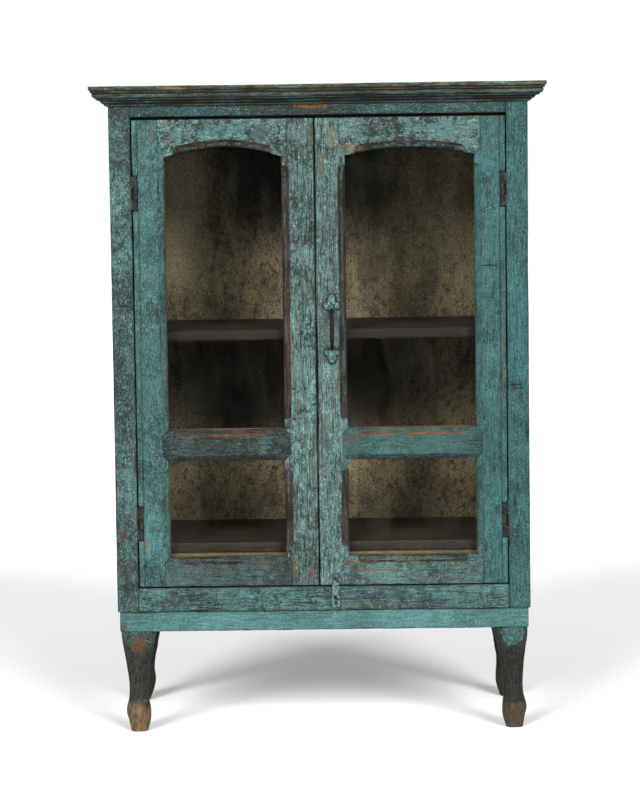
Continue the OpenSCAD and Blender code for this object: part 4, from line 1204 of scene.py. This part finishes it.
def tube(points, radii, sides=14):
    """A round bar through points, as a mesh."""
    rings = []
    points = [Vector(p) for p in points]
    for i, p in enumerate(points):
        along = (points[min(i + 1, len(points) - 1)] - points[max(i - 1, 0)]).normalized()
        one = along.cross(Vector((1, 0, 0))).normalized()
        two = along.cross(one)
        for k in range(sides):
            angle = 2 * math.pi * k / sides
            rings.append(p + radii[i] * (one * math.cos(angle) + two * math.sin(angle)))
    mesh = bpy.data.meshes.new("tube")
    mesh.from_pydata([tuple(v) for v in rings], [], ring_faces(len(points), sides))
    return mesh


# The handle's end plates: places across and up from their middles, and half sizes, in mm
UPPER_CUSP = [((0, 16), (9, 10)), ((-8.5, 3), (8, 8)), ((8.5, 3), (8, 8)),
              ((0, 6), (10, 11)), ((0, -5), (5, 6))]
LOWER_CUSP = [((0, 2), (6, 6)), ((-9, -2), (7, 6.6)), ((9, -2), (7, 6.6)), ((0, -6), (11, 8)),
              ((0, -12), (9, 8)), ((0, -17), (6.5, 7))]
CUSP_THICK, SHADOW_PLATE_THICK = 5.2 * MM, 3.8 * MM
SHADOW_PLATE_RIM = 2.0 * MM
GRIP_REACH = 40 * MM
DARK = 30, 28, 26


def lobes(middle, shapes, thick, rim=0.0):
    x, y, z = middle
    return [ball((x + sx * MM, y, z + sz * MM), (rx * MM + rim, thick, rz * MM + rim))
            for (sx, sz), (rx, rz) in shapes]


def handle():
    a, b = low("pull_handle"), high("pull_handle")
    x, face, z = (a[0] + b[0]) / 2, b[1], (a[2] + b[2]) / 2
    rust = surface("grip_rust", RUST, "z", 3.0, 0.2, 0.3, painted=0.0)
    # Dark iron for the plates behind the end plates, which stand for their shadow
    painted_shadow = surface("shadow_plate_iron", RUST, "z", 4.0, 0.0, 0.3, painted=0.15, paint=(52, 64, 60))
    chipped = paint("cusp", "z", 5.0, loss=0.0, crackle=1.0, pits=0.55, streaks=0.2, flecks=1.0, rub=0.1,
                    dirt=0.0, paint=(116, 164, 160), paint_2=(92, 138, 136), under=DARK)
    t, socket, made = painted_over(chipped)
    # Painted shade: the end plates' sides, which face across, are dark, as an outline
    t.put(socket, t.mix(facing(t, 0.35, 0.7), colour(*DARK), made))
    out = a[1] + 5 * MM
    path, radii = [], []
    for s in np.linspace(-1, 1, 41):
        k = 1 - abs(s) ** 5.0
        along = GRIP_REACH * s * (1.03 - 0.03 * abs(s))
        path.append((x, face - 2 * MM + (out - face + 2 * MM) * k, z + along))
        radii.append(float((3.3 + 1.4 * (1 - s * s)) * MM))
    grip = melted("handle_grip", tube(path, radii), voxel=0.9, rounds=6, lumps=0.35, seed=141)
    place(grip, rust, "iron", "pull_handle")
    for end, way, shapes in (("upper", 1, UPPER_CUSP), ("lower", -1, LOWER_CUSP)):
        middle = x, face, z + way * 44 * MM
        parts = lobes(middle, shapes, CUSP_THICK)
        cusp = melted("handle_cusp_" + end, *parts, lumps=0.9, seed=142 + way, scale=260)
        place(cusp, chipped, "iron", body="right_door")
        # A thin dark plate, a little larger than each end plate and behind it: a painted shadow round the
        # end plate
        parts = lobes(middle, shapes, SHADOW_PLATE_THICK, SHADOW_PLATE_RIM)
        shadow_plate = melted("handle_shadow_plate_" + end, *parts, rounds=2, lumps=0.5, seed=146 + way, scale=200)
        place(shadow_plate, painted_shadow, "iron", body="right_door")


FITTINGS = ("hinge_frame_leaves", "hinge_pins", "hinge_frame_screws", "left_hinge_leaves",
            "left_hinge_screws", "right_hinge_leaves", "right_hinge_screws", "handle_nails")


def hasp_parts():
    rust = surface("staple_rust", RUST, "z", 7.0, 0.2, 0.3, painted=0.7)
    strap = surface("hasp_paint", RUST, "z", 9.0, 0.1, 0.3, painted=0.8, paint=(82, 118, 112))
    hasp = melted("hasp_iron", NODES["hasp"].data, voxel=0.55, lumps=0.5, seed=151)
    place(hasp, strap, "iron", "hasp")
    staple = melted("staple_iron", NODES["hasp_staple"].data, voxel=0.5, lumps=0.3, seed=152)
    place(staple, rust, "iron", "hasp_staple")
    for i, n in enumerate(FITTINGS):
        dress(NODES[n], surface(n + "_rust", RUST, "z", 20 + i, 0.2, 0.2, painted=0.12, paint=(62, 84, 80)))


# ---------- legs ----------

LEAN = {"leg_front_left": -3 * MM, "leg_front_right": 8 * MM, "leg_rear_left": -7 * MM}
KNEE_Z = 206 * MM     # where a leg starts to lean


def legs():
    for i, n in enumerate(("leg_front_left", "leg_front_right", "leg_rear_left", "leg_rear_right")):
        obj = melted(n + "_wood", NODES[n].data, voxel=2.0, rounds=2, lumps=1.1, seed=160 + i, scale=45)
        p = points_of(obj.data)
        z = p[:, 2]
        p[:, 0] += LEAN.get(n, 0) * np.clip(1 - z / KNEE_Z, 0, 1) ** 1.4
        set_points(obj.data, p)
        write(obj.data, "foot", 1 - smooth(z, 25 * MM, 85 * MM))
        write(obj.data, "knee", smooth(z, 130 * MM, 205 * MM))
        place(obj, leg_paint(n, 160 + i), "dark_paint", n)


LEG_PAINT = {
    "left": dict(paint=(80, 112, 108), paint_2=(60, 80, 75)),
    "right": dict(paint=(56, 80, 77), paint_2=(38, 52, 50)),
}
# How far each foot's bare timber is darkened; the rear legs' dark feet are painted shade
DARK_FOOT = {"leg_front_left": 0.05, "leg_front_right": 0.62, "leg_rear_left": 0.85, "leg_rear_right": 0.85}


def leg_paint(name, seed):
    """Paint at the knee, dark on the shaft, and bare rubbed timber at the foot."""
    side = "left" if "left" in name else "right"
    m = surface(name + "_paint", PAINT, "z", seed, 0, 0.8, loss=0.2, crackle=0.6, pits=0.7, streaks=0.5,
                rub=0.4, splits=0.4, dirt=0.3, rubbed=(74, 72, 64), **LEG_PAINT[side])
    t, socket, made = painted_over(m)
    where = object_place(t)
    rough = t.times(t.math("SUBTRACT", t.noise(where, 60, 6, 0.72), 0.5), 1.6)
    fine = t.noise(where, 420, 5, 0.75)
    foot = t.span(t.add(t.attribute("foot"), rough), 0.3, 0.75)
    knee = t.span(t.add(t.attribute("knee"), rough), 0.35, 0.85)
    fibre = t.noise(t.scaled(where, 1, 1, 0.12, (seed, 0, 0)), 300, 7, 0.75)
    wood = t.mix(t.span(fibre, 0.35, 0.65), colour(78, 64, 50), colour(150, 128, 100))
    wood = t.mix(t.span(t.noise(where, 90, 5, 0.7), 0.54, 0.66), wood, colour(160, 104, 48))
    brown = t.mix(t.span(fibre, 0.35, 0.65), colour(24, 24, 21), colour(66, 65, 57))
    brown = t.mix(1.0, brown, t.span(fine, 0.35, 0.65, 0.4, 1.5), "MULTIPLY")
    lines = t.noise(t.scaled(where, 1, 1, 0.08, (1.0, seed, 0)), 420, 5, 0.8)
    brown = t.mix(t.span(t.add(lines, fine, -0.5), 0.56, 0.64, 0.0, 0.55), brown, colour(74, 102, 94))
    if side == "right":
        brown = t.mix(0.3, brown, colour(18, 18, 16))
    shade = t.mix(t.times(knee, 0.95), brown, made)
    front = low(name)[1]
    if name == "leg_front_left":
        centre = (high(name)[0] - 34 * MM, front, 178 * MM)
        patch = blob(t, where, centre, (15 * MM, 40 * MM, 19 * MM), 1.0)
        shade = t.mix(t.times(patch, t.span(fine, 0.4, 0.5)), shade, colour(108, 74, 46))
    if name == "leg_front_right":
        # A dark rim, a teal ring in it, and a dark line round the ring's middle
        centre = (low(name)[0] + 36 * MM, front, 196 * MM)
        rim = blob(t, where, centre, (26 * MM, 42 * MM, 30 * MM), 0.3)
        ring = blob(t, where, centre, (18 * MM, 33 * MM, 21 * MM), 0.3)
        heart = blob(t, where, centre, (15.5 * MM, 30 * MM, 18 * MM), 0.4)
        face = blob(t, where, centre, (23 * MM, 39 * MM, 27 * MM), 0.4)
        line = t.times(t.math("SUBTRACT", ring, heart, True), 0.8)
        face = t.times(t.math("SUBTRACT", face, line, True), t.span(fine, 0.36, 0.46))
        teal = t.mix(t.span(rough, -0.2, 0.2), colour(58, 96, 95), colour(92, 136, 134))
        shade = t.mix(rim, shade, colour(34, 40, 38))
        shade = t.mix(face, shade, teal)
    shade = t.mix(foot, shade, t.mix(DARK_FOOT[name], wood, colour(40, 37, 32)))
    t.put(socket, shade)
    return m


cornice()
doors()
handle()
hasp_parts()
legs()


# ---------- stage ----------

FLOOR = 30            # half its width, in metres


def stage():
    mesh = bpy.data.meshes.new("floor")
    corners = [(-FLOOR, -FLOOR, 0), (FLOOR, -FLOOR, 0), (FLOOR, FLOOR, 0), (-FLOOR, FLOOR, 0)]
    mesh.from_pydata(corners, [], [(0, 1, 2, 3)])
    floor = linked("floor", mesh)
    m, t, shader = new_material("pale_floor")
    t.put(shader.inputs["Base Color"], (0.76, 0.76, 0.76, 1))
    t.put(shader.inputs["Roughness"], 0.9)
    mesh.materials.append(m)


def lamp(name, azimuth, elevation, power):
    """A large soft light far away. Azimuth 0 is straight in front."""
    data = bpy.data.lights.new(name, "SUN")
    data.energy = power
    data.angle = math.radians(22)
    light = linked(name, data)
    a, e = math.radians(azimuth), math.radians(elevation)
    way = Vector((math.sin(a) * math.cos(e), -math.cos(a) * math.cos(e), math.sin(e)))
    light.rotation_euler = (-way).to_track_quat("-Z", "Y").to_euler()


def lights():
    """Two soft lights from the front, and walls of a room that is white below and dimmer overhead."""
    world = bpy.data.worlds.new("studio")
    bpy.context.scene.world = world
    world.use_nodes = True
    t = Tree(world.node_tree)
    up = t.node("ShaderNodeSeparateXYZ")
    t.put(up.inputs[0], t.node("ShaderNodeTexCoord").outputs["Generated"])
    walls = world.node_tree.nodes["Background"]
    t.put(walls.inputs["Color"], (1, 1, 1, 1))
    t.put(walls.inputs["Strength"], t.span(up.outputs["Z"], 0.12, 0.75, 1.03, 0.42))
    for name, azimuth in (("key_left", -27), ("key_right", 27)):
        lamp(name, azimuth, 26, 4.2)


stage()
lights()
bpy.context.scene.view_settings.view_transform = "Standard"
